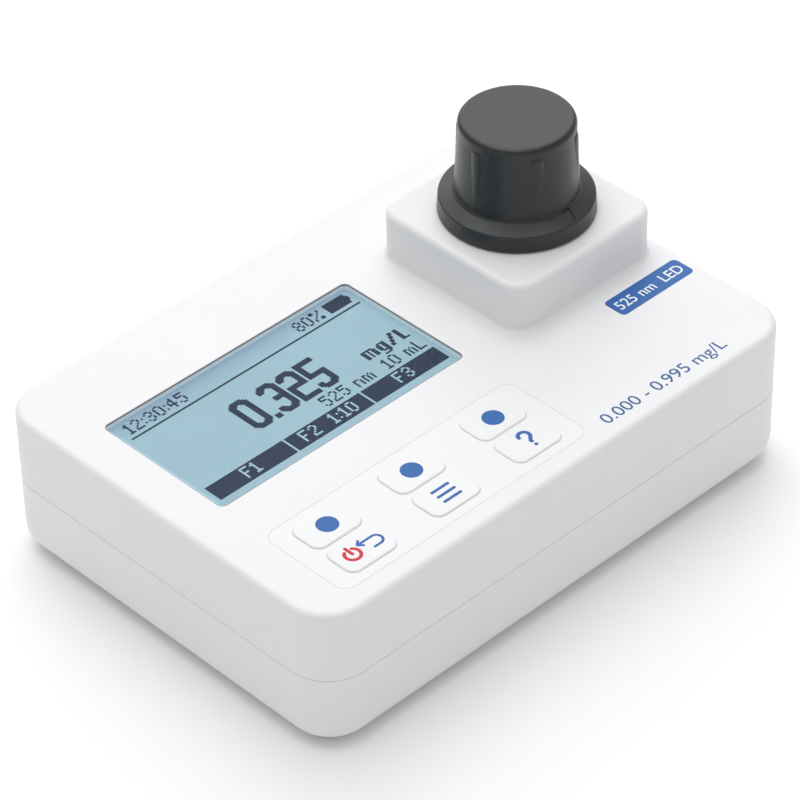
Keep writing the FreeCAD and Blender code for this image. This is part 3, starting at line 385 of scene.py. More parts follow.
def plate(name, low, high, radius=0.0, segments=8, soft_top=0.0, angle=0.0):
    """A rounded plate between two corners, with a softened top edge, turned about its middle."""
    start_fresh()
    middle = (Vector(low) + Vector(high)) / 2
    bpy.ops.mesh.primitive_cube_add(size=1.0, location=middle, rotation=(0, 0, angle))
    bpy.context.object.scale = Vector(high) - Vector(low)
    piece = settle(name)
    bpy.ops.object.mode_set(mode="EDIT")
    soften(upright, radius, segments)
    soften(level_at(high[2]), soft_top, 5)
    bpy.ops.object.mode_set(mode="OBJECT")
    return smooth(piece)


def slab(name, middle, half, low, high, *form, **more):
    """A plate between two heights that reaches half its size each way from its middle."""
    return plate(name, (middle[0] - half[0], middle[1] - half[1], low),
                 (middle[0] + half[0], middle[1] + half[1], high), *form, **more)


def disc(name, centre, radius, low, high, sides, soft_top=0.0):
    """An upright disc between two heights, with a softened top edge."""
    start_fresh()
    bpy.ops.mesh.primitive_cylinder_add(vertices=sides, radius=radius, depth=high - low,
                                        location=(centre[0], centre[1], (low + high) / 2))
    piece = settle(name)
    if soft_top > 0:
        bpy.ops.object.mode_set(mode="EDIT")
        soften(level_at(high), soft_top, 3)
        bpy.ops.object.mode_set(mode="OBJECT")
    return smooth(piece)


def turned(name, profile, centre, steps, along_y=False):
    """A closed body spun from pairs of a radius and a height, about a line through the centre."""
    start_fresh()
    bpy.ops.mesh.primitive_plane_add(size=1.0)
    edit_all()
    bpy.ops.mesh.delete(type="VERT")
    shape = bmesh.from_edit_mesh(bpy.context.object.data)
    corners = [shape.verts.new((r, 0.0, z)) for r, z in profile]
    for a, b in zip(corners, corners[1:]):
        shape.edges.new((a, b))
    bmesh.update_edit_mesh(bpy.context.object.data)
    bpy.ops.mesh.select_all(action="SELECT")
    bpy.ops.mesh.spin(steps=steps, angle=math.tau, center=(0, 0, 0), axis=(0, 0, 1))
    close_up()
    piece = bpy.context.object
    if along_y:
        piece.data.transform(Matrix.Rotation(-math.pi / 2, 4, "X"))
    piece.location = centre
    settle(name)
    return smooth(piece)


def arc_bar(name, centre, radius, width, start, sweep, steps):
    """A flat bar of ink on a key, bent round a circle, with round ends."""
    middle = (INK_LOW + INK_HIGH) / 2
    first = Vector((math.cos(start), math.sin(start), 0)) * radius
    start_fresh()
    bpy.ops.mesh.primitive_plane_add(size=1.0, location=Vector((*centre, middle)) + first,
                                     rotation=(math.pi / 2, 0, start))
    bpy.context.object.scale = (width, INK_HIGH - INK_LOW, 1)
    piece = settle(name)
    edit_all()
    bpy.ops.mesh.spin(steps=steps, angle=-sweep, center=(*centre, middle), axis=(0, 0, 1))
    close_up(weld=False)
    ends = []
    for angle in (start, start + sweep):
        tip = (centre[0] + radius * math.cos(angle), centre[1] + radius * math.sin(angle))
        ends.append(disc(name + "_end", tip, width / 2, INK_LOW, INK_HIGH - FILM / 8, 20))
    return joined(name, [piece] + ends)


def stroke(name, start, end, width, drop=0.0):
    """A straight bar of ink on a key, with round ends and its top lowered by a drop."""
    a, b = Vector(start), Vector(end)
    half = Vector(((b - a).length / 2 + width / 2, width / 2))
    return slab(name, (a + b) / 2, half, INK_LOW, INK_HIGH - drop, width * 0.49, 6,
                angle=math.atan2(b.y - a.y, b.x - a.x))


def cut_away(piece, tool):
    """Cuts the tool's form out of a piece and removes the tool."""
    make_active(piece)
    apply_modifier("BOOLEAN", operation="DIFFERENCE", solver="EXACT", object=tool)
    make_active(tool)
    bpy.ops.object.delete()
    return piece


def joined(name, pieces):
    """One object from several."""
    make_active(pieces[0])
    for piece in pieces[1:]:
        piece.select_set(True)
    bpy.ops.object.join()
    return named(name)


def smooth(piece, weigh=True):
    """Smooth shading across shallow edges, with flat faces kept flat."""
    make_active(piece)
    bpy.ops.object.shade_smooth_by_angle(angle=SMOOTH_ANGLE)
    if weigh:
        apply_modifier("WEIGHTED_NORMAL", keep_sharp=True)
    return piece


def lettering(name, text, height, width, centre, low, thickness, bold):
    """Flat raised lettering with a height for its capitals and a width, centred on a point."""
    start_fresh()
    bpy.ops.object.text_add(location=(0, 0, 0))
    piece = bpy.context.object
    piece.data.body = text
    piece.data.size = height / CAPITAL_SHARE
    piece.data.offset = bold
    piece.data.extrude = thickness / 2
    piece.data.resolution_u = 6
    bpy.ops.object.convert(target="MESH")
    piece = bpy.context.object
    xs = [v.co.x for v in piece.data.vertices]
    ys = [v.co.y for v in piece.data.vertices]
    piece.scale.x = width / (max(xs) - min(xs))
    middle_x = (max(xs) + min(xs)) / 2 * piece.scale.x
    has_tails = min(ys) < -0.05 * height
    middle_y = height / 2 if has_tails else (max(ys) + min(ys)) / 2
    piece.location = (centre[0] - middle_x, centre[1] - middle_y, low + thickness / 2)
    settle(name)
    bpy.ops.object.mode_set(mode="EDIT")
    close_up()
    return smooth(piece, weigh=False)


def dress(piece, material, body, replaces=()):
    """Gives a piece its material, parents it to the body it rides on, and hides the CAD nodes it
    replaces.
    """
    piece.data.materials.clear()
    piece.data.materials.append(material)
    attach(piece, body)
    if replaces:
        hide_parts(*replaces)


def refinish(material, *nodes):
    """Puts a better material on CAD nodes."""
    for node in nodes:
        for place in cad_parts[node].material_slots:
            place.material = material


# Sizes and colours that a user may change

class CaseLook(bpy.types.PropertyGroup):
    """The white mouldings."""
    shell_color: bpy.props.FloatVectorProperty(
        name="Shell colour", description="Colour of the two shells", subtype="COLOR", size=3,
        min=0, max=1, default=(0.80, 0.802, 0.812))
    panel_color: bpy.props.FloatVectorProperty(
        name="Panel colour", description="Colour of the keypad film and keys", subtype="COLOR",
        size=3, min=0, max=1, default=(0.81, 0.815, 0.82))
    gloss: bpy.props.FloatProperty(
        name="Shell roughness", description="Roughness of the shells", subtype="FACTOR",
        min=0, max=1, default=0.46)


class DisplayLook(bpy.types.PropertyGroup):
    """The liquid crystal display."""
    glass_color: bpy.props.FloatVectorProperty(
        name="Background", description="Colour of the clear dots", subtype="COLOR", size=3,
        min=0, max=1, default=(0.36, 0.54, 0.62))
    dot_color: bpy.props.FloatVectorProperty(
        name="Dots", description="Colour of the dark dots", subtype="COLOR", size=3,
        min=0, max=1, default=(0.022, 0.033, 0.068))
    light_color: bpy.props.FloatVectorProperty(
        name="Backlight", description="Light that comes through the clear dots", subtype="COLOR",
        size=3, min=0, max=1, default=(0.130, 0.180, 0.202))
    # Painted shade: the colour the top rows are painted towards, for the shade that the window's
    # top edge casts on them.
    shade_color: bpy.props.FloatVectorProperty(
        name="Painted top shade", description="Colour that the top rows take", subtype="COLOR", size=3,
        min=0, max=1, default=(0.26, 0.35, 0.54))
    # Painted glow: the pane's sides give out this light, though they are no lamp.
    painted_edge_glow: bpy.props.FloatVectorProperty(
        name="Painted pane glow", description="Light that the pane's edges pipe", subtype="COLOR", size=3,
        min=0, max=1, default=(0.22, 0.28, 0.31))
    # Painted shadow: the dark line round the window stands for the shade in the gap at the window's
    # edge.
    line_color: bpy.props.FloatVectorProperty(
        name="Painted shadow line", description="Colour of the fine line round the window", subtype="COLOR",
        size=3, min=0, max=1, default=(0.20, 0.18, 0.175))
    columns: bpy.props.IntProperty(
        name="Columns", description="Dots across the display", default=128, min=32, max=256)
    rows: bpy.props.IntProperty(
        name="Rows", description="Dots down the display", default=64, min=16, max=128)
    pitch: bpy.props.FloatProperty(
        name="Dot pitch", description="Distance between dots", subtype="DISTANCE", unit="LENGTH",
        default=0.5254 * MM, precision=6)
    left: bpy.props.FloatProperty(
        name="Left edge", description="Place of the first column", subtype="DISTANCE",
        unit="LENGTH", default=-57.31 * MM, precision=5)
    foot: bpy.props.FloatProperty(
        name="Bottom edge", description="Place of the last row", subtype="DISTANCE", unit="LENGTH",
        default=-5.31 * MM, precision=5)


class PrintLook(bpy.types.PropertyGroup):
    """The printed symbols, badge and lettering."""
    blue: bpy.props.FloatVectorProperty(
        name="Blue ink", description="Colour of the blue print", subtype="COLOR", size=3,
        min=0, max=1, default=(0.030, 0.130, 0.400))
    slate: bpy.props.FloatVectorProperty(
        name="Slate ink", description="Colour of the range text", subtype="COLOR", size=3,
        min=0, max=1, default=(0.035, 0.115, 0.300))
    red: bpy.props.FloatVectorProperty(
        name="Red ink", description="Colour of the power symbol", subtype="COLOR", size=3,
        min=0, max=1, default=(0.600, 0.028, 0.040))
    badge_text: bpy.props.StringProperty(
        name="Badge text", description="White text on the badge", default="525 nm  LED")
    range_text: bpy.props.StringProperty(
        name="Range text", description="Slate text near the front edge",
        default="0.000 - 0.995 mg/L")


class CapLook(bpy.types.PropertyGroup):
    """The black light shield cap."""
    color: bpy.props.FloatVectorProperty(
        name="Cap colour", description="Colour of the cap", subtype="COLOR", size=3,
        min=0, max=1, default=(0.012, 0.0145, 0.016))
    gloss: bpy.props.FloatProperty(
        name="Cap roughness", description="Roughness of the cap", subtype="FACTOR",
        min=0, max=1, default=0.34)


class CellLook(bpy.types.PropertyGroup):
    """The three cells."""
    jacket_color: bpy.props.FloatVectorProperty(
        name="Jacket colour", description="Colour of the cells' jackets", subtype="COLOR", size=3,
        min=0, max=1, default=(0.020, 0.045, 0.110))
    mark_color: bpy.props.FloatVectorProperty(
        name="Mark colour", description="Colour of the band and of the plus and minus marks",
        subtype="COLOR", size=3, min=0, max=1, default=(0.62, 0.64, 0.66))


class StageLook(bpy.types.PropertyGroup):
    """The floor, lights and camera."""
    floor_color: bpy.props.FloatVectorProperty(
        name="Floor colour", description="Colour of the floor", subtype="COLOR", size=3,
        min=0, max=1, default=(0.97, 0.98, 0.975))
    ambient: bpy.props.FloatProperty(
        name="Ambient light", description="Strength of the surrounding light", default=0.58, min=0)
    back_power: bpy.props.FloatProperty(
        name="Back light", description="Power of the soft box behind", subtype="POWER",
        unit="POWER", default=5.0, min=0)
    top_power: bpy.props.FloatProperty(
        name="Top light", description="Power of the soft box above", subtype="POWER", unit="POWER",
        default=5.7, min=0)
    azimuth: bpy.props.FloatProperty(
        name="Azimuth", description="Turn of the camera round the object", subtype="ANGLE",
        unit="ROTATION", default=math.radians(-43.657))
    elevation: bpy.props.FloatProperty(
        name="Elevation", description="Height of the camera above the horizon", subtype="ANGLE",
        unit="ROTATION", default=math.radians(38.927))
    roll: bpy.props.FloatProperty(
        name="Roll", description="Tilt of the camera about its line of sight", subtype="ANGLE",
        unit="ROTATION", default=math.radians(-1.165))
    distance: bpy.props.FloatProperty(
        name="Distance", description="From the camera to its target", subtype="DISTANCE",
        unit="LENGTH", default=0.851)
    lens: bpy.props.FloatProperty(
        name="Lens", description="Focal length for a 36 mm sensor, in millimetres", default=175.68)
    target: bpy.props.FloatVectorProperty(
        name="Target", description="The point in the middle of the picture", subtype="XYZ",
        unit="LENGTH", size=3, default=(-0.705 * MM, -0.488 * MM, 27.43 * MM), precision=5)


# Stage

class PHOTOMETER_OT_stage(bpy.types.Operator):
    """Makes the floor, the soft lights and the camera"""
    bl_idname = "photometer.stage"
    bl_label = "Stage"

    def execute(self, context):
        look = context.scene.photometer_stage
        start_fresh()
        bpy.ops.mesh.primitive_plane_add(size=8.0, location=(0, 0, 0))
        floor = settle("floor")
        finish = Finish("floor_paint", look.floor_color, 0.9)
        finish.mottle(finish.noise(3.0), look.floor_color, dark=0.995, light=1.0)
        floor.data.materials.append(finish.material)
        scene = context.scene
        scene.view_settings.view_transform = "Standard"
        world = bpy.data.worlds.new("studio")
        world.use_nodes = True
        backdrop = world.node_tree.nodes["Background"]
        backdrop.inputs["Color"].default_value = (1.0, 0.993, 0.99, 1.0)
        backdrop.inputs["Strength"].default_value = look.ambient
        scene.world = world
        self.soft_box("back_box", (0.50, 0.62, 0.72), 1.1, look.back_power)
        self.soft_box("top_box", (-0.05, 0.10, 1.2), 1.0, look.top_power)
        self.camera(scene, look)
        return {"FINISHED"}

    def soft_box(self, name, place, size, power):
        """A square area light that faces the object."""
        bpy.ops.object.light_add(type="AREA", location=place)
        lamp = bpy.context.object
        lamp.name = name
        lamp.data.size = size
        lamp.data.energy = power
        lamp.data.color = (0.985, 0.992, 1.0)
        lamp.rotation_mode = "QUATERNION"
        lamp.rotation_quaternion = Vector(place).to_track_quat("Z", "Y")

    def camera(self, scene, look):
        """The camera that took the picture, solved from the object's edges."""
        flat = math.cos(look.elevation)
        back = Vector((math.sin(look.azimuth) * flat, -math.cos(look.azimuth) * flat,
                       math.sin(look.elevation)))
        right = Vector((0, 0, 1)).cross(back).normalized()
        up = back.cross(right)
        tilted_right = math.cos(look.roll) * right + math.sin(look.roll) * up
        tilted_up = math.cos(look.roll) * up - math.sin(look.roll) * right
        bpy.ops.object.camera_add()
        camera = bpy.context.object
        camera.name = "camera"
        camera.data.lens = look.lens
        camera.data.sensor_width = 36.0
        turn = Matrix((tilted_right, tilted_up, back)).transposed().to_4x4()
        camera.matrix_world = Matrix.Translation(Vector(look.target) + back * look.distance) @ turn
        camera.data.clip_start = 0.05
        camera.data.clip_end = 20.0
        scene.camera = camera


# Shells, feet and what they hold

class PHOTOMETER_OT_case(bpy.types.Operator):
    """Finishes the shells, film, feet and seals, and models a grey strip in the groove round the
    film, painted with the groove's shade
    """
    bl_idname = "photometer.case"
    bl_label = "Case"

    def execute(self, context):
        look = context.scene.photometer_case
        shell = moulded("shell_white", look.shell_color, look.gloss)
        refinish(shell, "top_shell", "bottom_shell", "battery_door")
        refinish(moulded("panel_film", look.panel_color, 0.40, **FILM_GRAIN), "keypad_panel")
        # Painted shade: the strip's darker grey stands for the shade in the groove round the film.
        groove_shade = moulded("groove_shade_grey", tint(look.panel_color, 0.74), 0.5, **FILM_GRAIN)
        dress(self.groove_shade_strip(), groove_shade, "housing")
        rubber = soft("foot_rubber", (0.035, 0.035, 0.037))
        refinish(rubber, "rubber_feet", "housing_gasket", "door_gasket")
        refinish(soft("silicone", (0.28, 0.29, 0.31), 0.6), "keypad_mat")
        return {"FINISHED"}

    def groove_shade_strip(self):
        """A grey strip that fills the groove round the keypad film; its grey is a painted shade of
        the groove.
        """
        low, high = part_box("keypad_panel")
        reach, radius, height = 0.145 * MM, 3.0 * MM, 0.3 * MM
        out = Vector((reach, reach, 0))
        groove_shade = plate("groove_shade_strip", low.xy.to_3d() - out + Vector((0, 0, FACE_Z - height)),
                     high.xy.to_3d() + out + Vector((0, 0, FACE_Z - FILM)), radius + reach, 10)
        tool = plate("strip_tool", (low.x, low.y, FACE_Z - 2 * height),
                     (high.x, high.y, FACE_Z + height), radius, 10)
        return smooth(cut_away(groove_shade, tool))


# Display

SMALL_FONT = {
    "0": "0110 1001 1001 1001 1001 1001 0110",
    "1": "010 110 010 010 010 010 111",
    "2": "0110 1001 0001 0010 0100 1000 1111",
    "3": "0110 1001 0001 0110 0001 1001 0110",
    "4": "0010 0110 1010 1010 1111 0010 0010",
    "5": "1111 1000 1110 0001 0001 1001 0110",
    "8": "0110 1001 1001 0110 1001 1001 0110",
    "F": "1111 1000 1000 1110 1000 1000 1000",
    "L": "1000 1000 1000 1000 1000 1000 1111",
    "m": "00000 00000 11010 10101 10101 10101 10101",
    "n": "0000 0000 1110 1001 1001 1001 1001",
    "%": "11001 11001 00010 00100 01000 10011 10011",
    ":": "0 0 1 0 0 1 0",
    " ": "00 00 00 00 00 00 00",
}
UNIT_FONT = {
    "m": "0000000 0000000 1111110 1101011 1101011 1101011 1101011 1101011 0000000 0000000",
    "g": "00000 00000 01111 11011 11011 11011 11011 01111 00011 11110",
    "/": "00011 00011 00110 00110 01100 01100 11000 11000 00000 00000",
    "L": "1100 1100 1100 1100 1100 1100 1100 1111 0000 0000",
}
SEGMENTS = {"0": "abcdef", "2": "abdegs", "3": "abcdhst", "5": "acdfgt"}
DIGIT_WIDTH = 10
DIGIT_HEIGHT = 21
STROKE = 3
TOP_ROW, RULE_ROW, READING_ROW, UNIT_ROW, NOTE_ROW = 1, 10, 22, 34, 45
READING_COLUMN = 40
LABEL_ROWS = 10


def glyph_dots(glyph):
    """The column and row of each dark dot of a glyph that is drawn in rows of text."""
    rows = glyph.split()
    return {(c, r) for r, line in enumerate(rows) for c, mark in enumerate(line) if mark == "1"}


def line_dots(text, font):
    """The dots of a line of text with one clear column between letters, and its width."""
    dots, column = set(), 0
    for letter in text:
        dots |= moved(glyph_dots(font[letter]), column, 0)
        column += len(font[letter].split()[0]) + 1
    return dots, column - 1


def block_dots(left, top, width, height):
    """A filled block of dots."""
    return {(c, r) for c in range(left, left + width) for r in range(top, top + height)}


def big_digit(digit):
    """A tall digit built of bars, with its outer corners rounded off."""
    wide, tall, bar = DIGIT_WIDTH, DIGIT_HEIGHT, STROKE
    half = (tall - bar) // 2
    bars = {
        "a": (0, 0, wide, bar), "g": (0, half, wide, bar), "d": (0, tall - bar, wide, bar),
        "f": (0, 0, bar, half + bar), "b": (wide - bar, 0, bar, half + bar),
        "e": (0, half, bar, tall - half), "c": (wide - bar, half, bar, tall - half),
        "h": (bar, half, wide - bar, bar), "s": (0, bar, bar, bar - 1),
        "t": (0, tall - 2 * bar + 1, bar, bar - 1),
    }
    dots = set()
    for name in SEGMENTS[digit]:
        dots |= block_dots(*bars[name])
    inner = {(bar, bar), (wide - 1 - bar, bar)}
    corner = {(c, r) for c in range(bar) for r in range(bar) if c + r < bar - 1}
    outer = corner | {(wide - 1 - c, r) for c, r in corner}
    if digit == "5":
        inner, outer = inner - {(bar, bar)}, outer - corner
    low_inner, low_outer = ({(c, tall - 1 - r) for c, r in group} for group in (inner, outer))
    if digit == "5":
        low_outer |= {(c, tall - 1 - r) for c, r in corner}
        inner, outer = set(), set()
    if digit == "2":
        low_inner, low_outer = set(), set()
    return (dots | inner | low_inner) - outer - low_outer


def moved(dots, column, row):
    """The same dots at another place."""
    return {(c + column, r + row) for c, r in dots}


def display_dots(columns, rows):
    """Every dark dot of the display: clock, charge, reading, unit, cell line and three labels."""
    dots = moved(line_dots("12:30:45", SMALL_FONT)[0], 2, TOP_ROW)
    charge, width = line_dots("80%", SMALL_FONT)
    dots |= moved(charge, columns - width - 17, TOP_ROW)
    dots |= block_dots(columns - 14, TOP_ROW, 12, 7) | block_dots(columns - 2, TOP_ROW + 2, 1, 3)
    dots |= block_dots(0, RULE_ROW, columns, 1)
    column = READING_COLUMN
    for index, digit in enumerate("0325"):
        dots |= moved(big_digit(digit), column, READING_ROW)
        column += DIGIT_WIDTH + 1
        if index == 0:
            dots |= block_dots(column, READING_ROW + DIGIT_HEIGHT - STROKE, STROKE, STROKE)
            column += STROKE + 1
    for text, font, row in (("mg/L", UNIT_FONT, UNIT_ROW), ("525 nm  10 mL", SMALL_FONT, NOTE_ROW)):
        line, width = line_dots(text, font)
        dots |= moved(line, columns - width - 1, row)
    third = (columns - 2) // 3
    for index, label in enumerate(("F1", "F2  1:10", "F3")):
        left = index * (third + 1)
        text, width = line_dots(label, SMALL_FONT)
        band = block_dots(left, rows - LABEL_ROWS, third, LABEL_ROWS)
        dots |= band - moved(text, left + (third - width) // 2, rows - LABEL_ROWS + 1)
    return dots


class PHOTOMETER_OT_display(bpy.types.Operator):
    """Finishes the window and glass, and draws the dark dots"""
    bl_idname = "photometer.display"
    bl_label = "Display"

    def execute(self, context):
        look = context.scene.photometer_display
        refinish(self.pane(look), "display_window")
        refinish(self.glass(look), "lcd_glass")
        refinish(moulded("diffuser", (0.80, 0.86, 0.88), 0.3), "lcd_backlight")
        refinish(moulded("frame_plastic", (0.03, 0.03, 0.032), 0.5), "lcd_frame")
        refinish(bpy.data.materials["frame_plastic"], "ribbon_socket")
        refinish(moulded("ribbon_film", (0.52, 0.20, 0.035), 0.3), "lcd_ribbon")
        self.draw(look)
        return {"FINISHED"}

    def glass(self, look):
        """The lit glass, with painted shade that fades out below the window's top edge."""
        finish = Finish("lcd_glass", look.glass_color, 0.5, Specular_IOR_Level=0.2)
        cloud = finish.noise(24.0)
        lit = finish.blend(cloud, tint(look.glass_color, 0.97), tint(look.glass_color, 1.03))
        # Painted shade: near the window's top edge the glass colour blends towards the shade
        # colour, fading out over six millimetres.
        fade, strength = 6.0 * MM, 0.6
        depth = (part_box("display_window")[1].y - finish.axis("Y")) / fade
        shade = finish.most(0.0, 1.0 - finish.most(0.0, depth))
        finish.color(finish.blend(strength * shade, lit, look.shade_color))
        finish.glow(finish.blend(cloud, tint(look.light_color, 0.9), look.light_color))
        finish.bump(finish.noise(5200.0), 0.003 * MM)
        return finish.material

    def pane(self, look):
        """The clear pane, with a painted shadow line round its top, and sides painted with a bluish
        reflection and a glow.
        """
        low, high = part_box("display_window")
        # The sides' bluish grey is a painted reflection of the lit glass.
        clear_color, painted_wall_reflection = (0.10, 0.11, 0.12), (0.55, 0.62, 0.66)
        finish = Finish("window_pane", clear_color, 0.06, IOR=1.5)
        edge = finish.outline(low, high, 1.5 * MM)
        # Painted shadow: a dark line along the window's edge, on the top face and on the top of the
        # sides.
        line = edge > -0.22 * MM
        side = edge > -0.015 * MM
        height = finish.axis("Z") - high.z
        top = height > -0.05 * MM
        rim = finish.least(side, height > -0.42 * MM)
        wall = side - rim
        smear = finish.noise(38.0, detail=3.0)
        color = finish.blend(finish.most(line, rim), clear_color, look.line_color)
        # The sides take the painted reflection colour and a painted glow.
        finish.color(finish.blend(wall, color, painted_wall_reflection))
        finish.glow(finish.blend(wall, (0, 0, 0), look.painted_edge_glow))
        finish.rough(0.05 + 0.05 * smear)
        wall_cover, rim_cover, line_cover, film = 0.6, 0.8, 0.55, 0.01
        inked = finish.most(rim * rim_cover, finish.least(line, top) * line_cover)
        covered = finish.most(wall * wall_cover, inked)
        finish.opacity(finish.most(film + film * smear, covered))
        return finish.material

    def draw(self, look):
        """The dark dots: the faces of a grid that are on, each with a gap round it."""
        width, height = look.columns * look.pitch, look.rows * look.pitch
        start_fresh()
        place = (look.left + width / 2, look.foot + height / 2, GLASS_Z + FILM)
        bpy.ops.mesh.primitive_grid_add(x_subdivisions=look.columns, y_subdivisions=look.rows,
                                        size=1.0, location=place)
        bpy.context.object.scale = (width, height, 1)
        piece = settle("lcd_dots")
        dots = display_dots(look.columns, look.rows)
        top, gap_share = look.foot + height, 0.03

        def is_off(face):
            centre = face.calc_center_median()
            column = int((centre.x - look.left) / look.pitch)
            row = int((top - centre.y) / look.pitch)
            return (column, row) not in dots

        bpy.ops.object.mode_set(mode="EDIT")
        pick("FACE", is_off)
        bpy.ops.mesh.delete(type="FACE")
        bpy.ops.mesh.select_all(action="SELECT")
        bpy.ops.mesh.inset(thickness=look.pitch * gap_share, use_individual=True)
        bpy.ops.mesh.select_all(action="INVERT")
        bpy.ops.mesh.delete(type="FACE")
        bpy.ops.object.mode_set(mode="OBJECT")
        apply_modifier("SOLIDIFY", thickness=FILM, offset=1.0)
        ink = Finish("lcd_dark", look.dot_color, 0.6, Specular_IOR_Level=0.15)
        patch = ink.noise(1200.0)
        ink.mottle(patch, look.dot_color, dark=0.9, light=1.15)
        ink.bump(patch, 0.002 * MM)
        dress(piece, ink.material, "housing")


# Keys

class PHOTOMETER_OT_keys(bpy.types.Operator):
    """Models the six key caps, their printed symbols and the domes below them"""
    bl_idname = "photometer.keys"
    bl_label = "Keys"

    def execute(self, context):
        case = context.scene.photometer_case
        look = context.scene.photometer_print
        cap = moulded("key_film", case.panel_color, 0.38, **FILM_GRAIN)
        inks = {"blue": printed("blue_ink", look.blue), "red": printed("red_ink", look.red)}
        symbols = {"power": self.power, "menu": self.menu, "help": self.question}
        for name in KEY_NAMES:
            node = "key_" + name
            body = node + "_body"
            dress(self.cap(node), cap, body, [node])
            self.dome(name)
            middle = box_of(node)[2] + SYMBOL_OFFSET
            drawn = symbols[name](middle) if name in symbols else self.dot(name, middle)
            for piece, ink in drawn:
                dress(piece, inks[ink], body)
        return {"FINISHED"}

    def cap(self, node):
        """A low, soft-edged cap that fills its opening, with its flange and stem."""
        low, high, middle = box_of(node)
        flange, grow = 0.45 * MM, 0.14 * MM
        half = Vector((high.x - low.x, high.y - low.y)) / 2 - Vector((flange, flange))
        half += Vector((grow, grow))
        inset = half - 2 * Vector((grow, grow))
        base = FACE_Z - 0.55 * MM
        top = slab(node + "_cap", middle, half, base, KEY_TOP_Z, 2.5 * MM, 10, 0.45 * MM)
        foot = plate(node + "_flange", (low.x, low.y, base - 2.6 * MM),
                     (high.x, high.y, base - 1.7 * MM))
        stem = disc(node + "_stem", middle, 2.2 * MM, low.z, base + 0.2 * MM, 32)
        body = slab(node + "_body", middle, inset, base - 2.0 * MM, base + 0.1 * MM, 2.2 * MM, 6)
        return joined(node + "_piece", [top, foot, stem, body])

    def dome(self, name):
        """The silicone dome below a key, modelled in its rest shape; the real dome flattens as the
        key goes down.
        """
        node = "dome_" + name
        low, high, middle = box_of(node)
        reach, tall, flat = high.x - middle.x, high.z - low.z, 2.2 * MM
        roof = tall - 1.0 * MM
        profile = [(0, roof), (flat - 0.6 * MM, roof), (reach - 0.5 * MM, 0), (reach, 0),
                   (reach - 0.12 * MM, 0.25 * MM), (flat + 0.14 * MM, tall - 0.12 * MM),
                   (flat, tall), (0, tall)]
        foot = (middle.x, middle.y, low.z)
        dome = turned(node + "_piece", profile, foot, 48)
        dress(dome, bpy.data.materials["silicone"], "housing", [node])
        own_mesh(dome)

    # Each symbol is a list of pieces with the names of their inks. Strokes that cross end at
    # slightly different heights, so that no two tops share a plane.

    def dot(self, name, middle):
        """A round dot."""
        return [(disc("dot_" + name, middle, 2.5 * MM, INK_LOW, INK_HIGH, 64, FILM / 2), "blue")]

    def power(self, middle):
        """A ring with a bar in its gap, and an arrow that bends back."""
        width, line, bend = 0.8 * MM, 0.62 * MM, 1.42 * MM
        centre, turn = off(middle, -2.85, -0.25), off(middle, 3.75, -0.32)
        ring = arc_bar("power_ring", centre, 1.76 * MM, width, math.radians(125),
                       math.radians(290), 40)
        bar = stroke("power_bar", off(centre, 0, 2.35), off(centre, 0, 0.1), width)
        arc = arc_bar("back_arc", turn, bend, line, math.radians(-90), math.pi, 20)
        tip = (middle.x - 0.30 * MM, turn[1] + bend)
        tail = (turn[0], turn[1] - bend)
        lines = [
            stroke("back_line", tip, (turn[0], tip[1]), line, FILM / 6),
            stroke("back_tail", off(tail, -1.7, 0), tail, line, FILM / 6),
            stroke("back_tip_high", tip, off(tip, 1.0, 0.9), line, FILM / 4),
            stroke("back_tip_low", tip, off(tip, 1.0, -0.9), line, FILM / 3),
        ]
        return [(joined("power_symbol", [ring, bar]), "red"),
                (joined("back_symbol", [arc] + lines), "blue")]

    def menu(self, middle):
        """Three level bars."""
        reach, pitch, width = 2.3, 1.92, 0.76 * MM
        bars = [stroke("menu_bar", off(middle, -reach, row * pitch),
                       off(middle, reach, row * pitch), width) for row in (-1, 0, 1)]
        return [(joined("menu_symbol", bars), "blue")]

    def question(self, middle):
        """A question mark."""
        width, radius, end = 0.9 * MM, 1.32 * MM, math.radians(-48)
        centre = off(middle, 0.18, 1.30)
        hook = arc_bar("help_hook", centre, radius, width, end, math.radians(218), 36)
        join = (centre[0] + radius * math.cos(end), centre[1] + radius * math.sin(end))
        knee = off(centre, -0.02, -2.0)
        parts = [hook, stroke("help_neck", join, knee, width, FILM / 6),
                 stroke("help_stem", knee, off(knee, 0, -0.35), width, FILM / 4),
                 disc("help_dot", off(centre, -0.02, -3.65), 0.46 * MM, INK_LOW, INK_HIGH, 32)]
        return [(joined("help_symbol", parts), "blue")]


# Badge and lettering

class PHOTOMETER_OT_prints(bpy.types.Operator):
    """Prints the badge and the range text on the top face"""
    bl_idname = "photometer.prints"
    bl_label = "Prints"

    def execute(self, context):
        look = context.scene.photometer_print
        slate = printed("slate_ink", look.slate)
        white = printed("white_ink", (0.82, 0.85, 0.90))
        centre, half = Vector((57.2, -20.45)) * MM, Vector((11.55, 3.2)) * MM
        low, high = FACE_Z - FILM, FACE_Z + FILM
        badge = slab("badge", centre, half, low, high, 1.2 * MM)
        dress(badge, bpy.data.materials["blue_ink"], "housing")
        words = lettering("badge_text", look.badge_text, height=3.0 * MM, width=20.6 * MM,
                          centre=centre, low=high - FILM / 2, thickness=FILM, bold=0.03 * MM)
        dress(words, white, "housing")
        words = lettering("range_text", look.range_text, height=3.4 * MM, width=37.9 * MM,
                          centre=(34.9 * MM, -45.15 * MM), low=low, thickness=2 * FILM,
                          bold=0.01 * MM)
        dress(words, slate, "housing")
        return {"FINISHED"}


# Cap, seal ring and cuvette holder

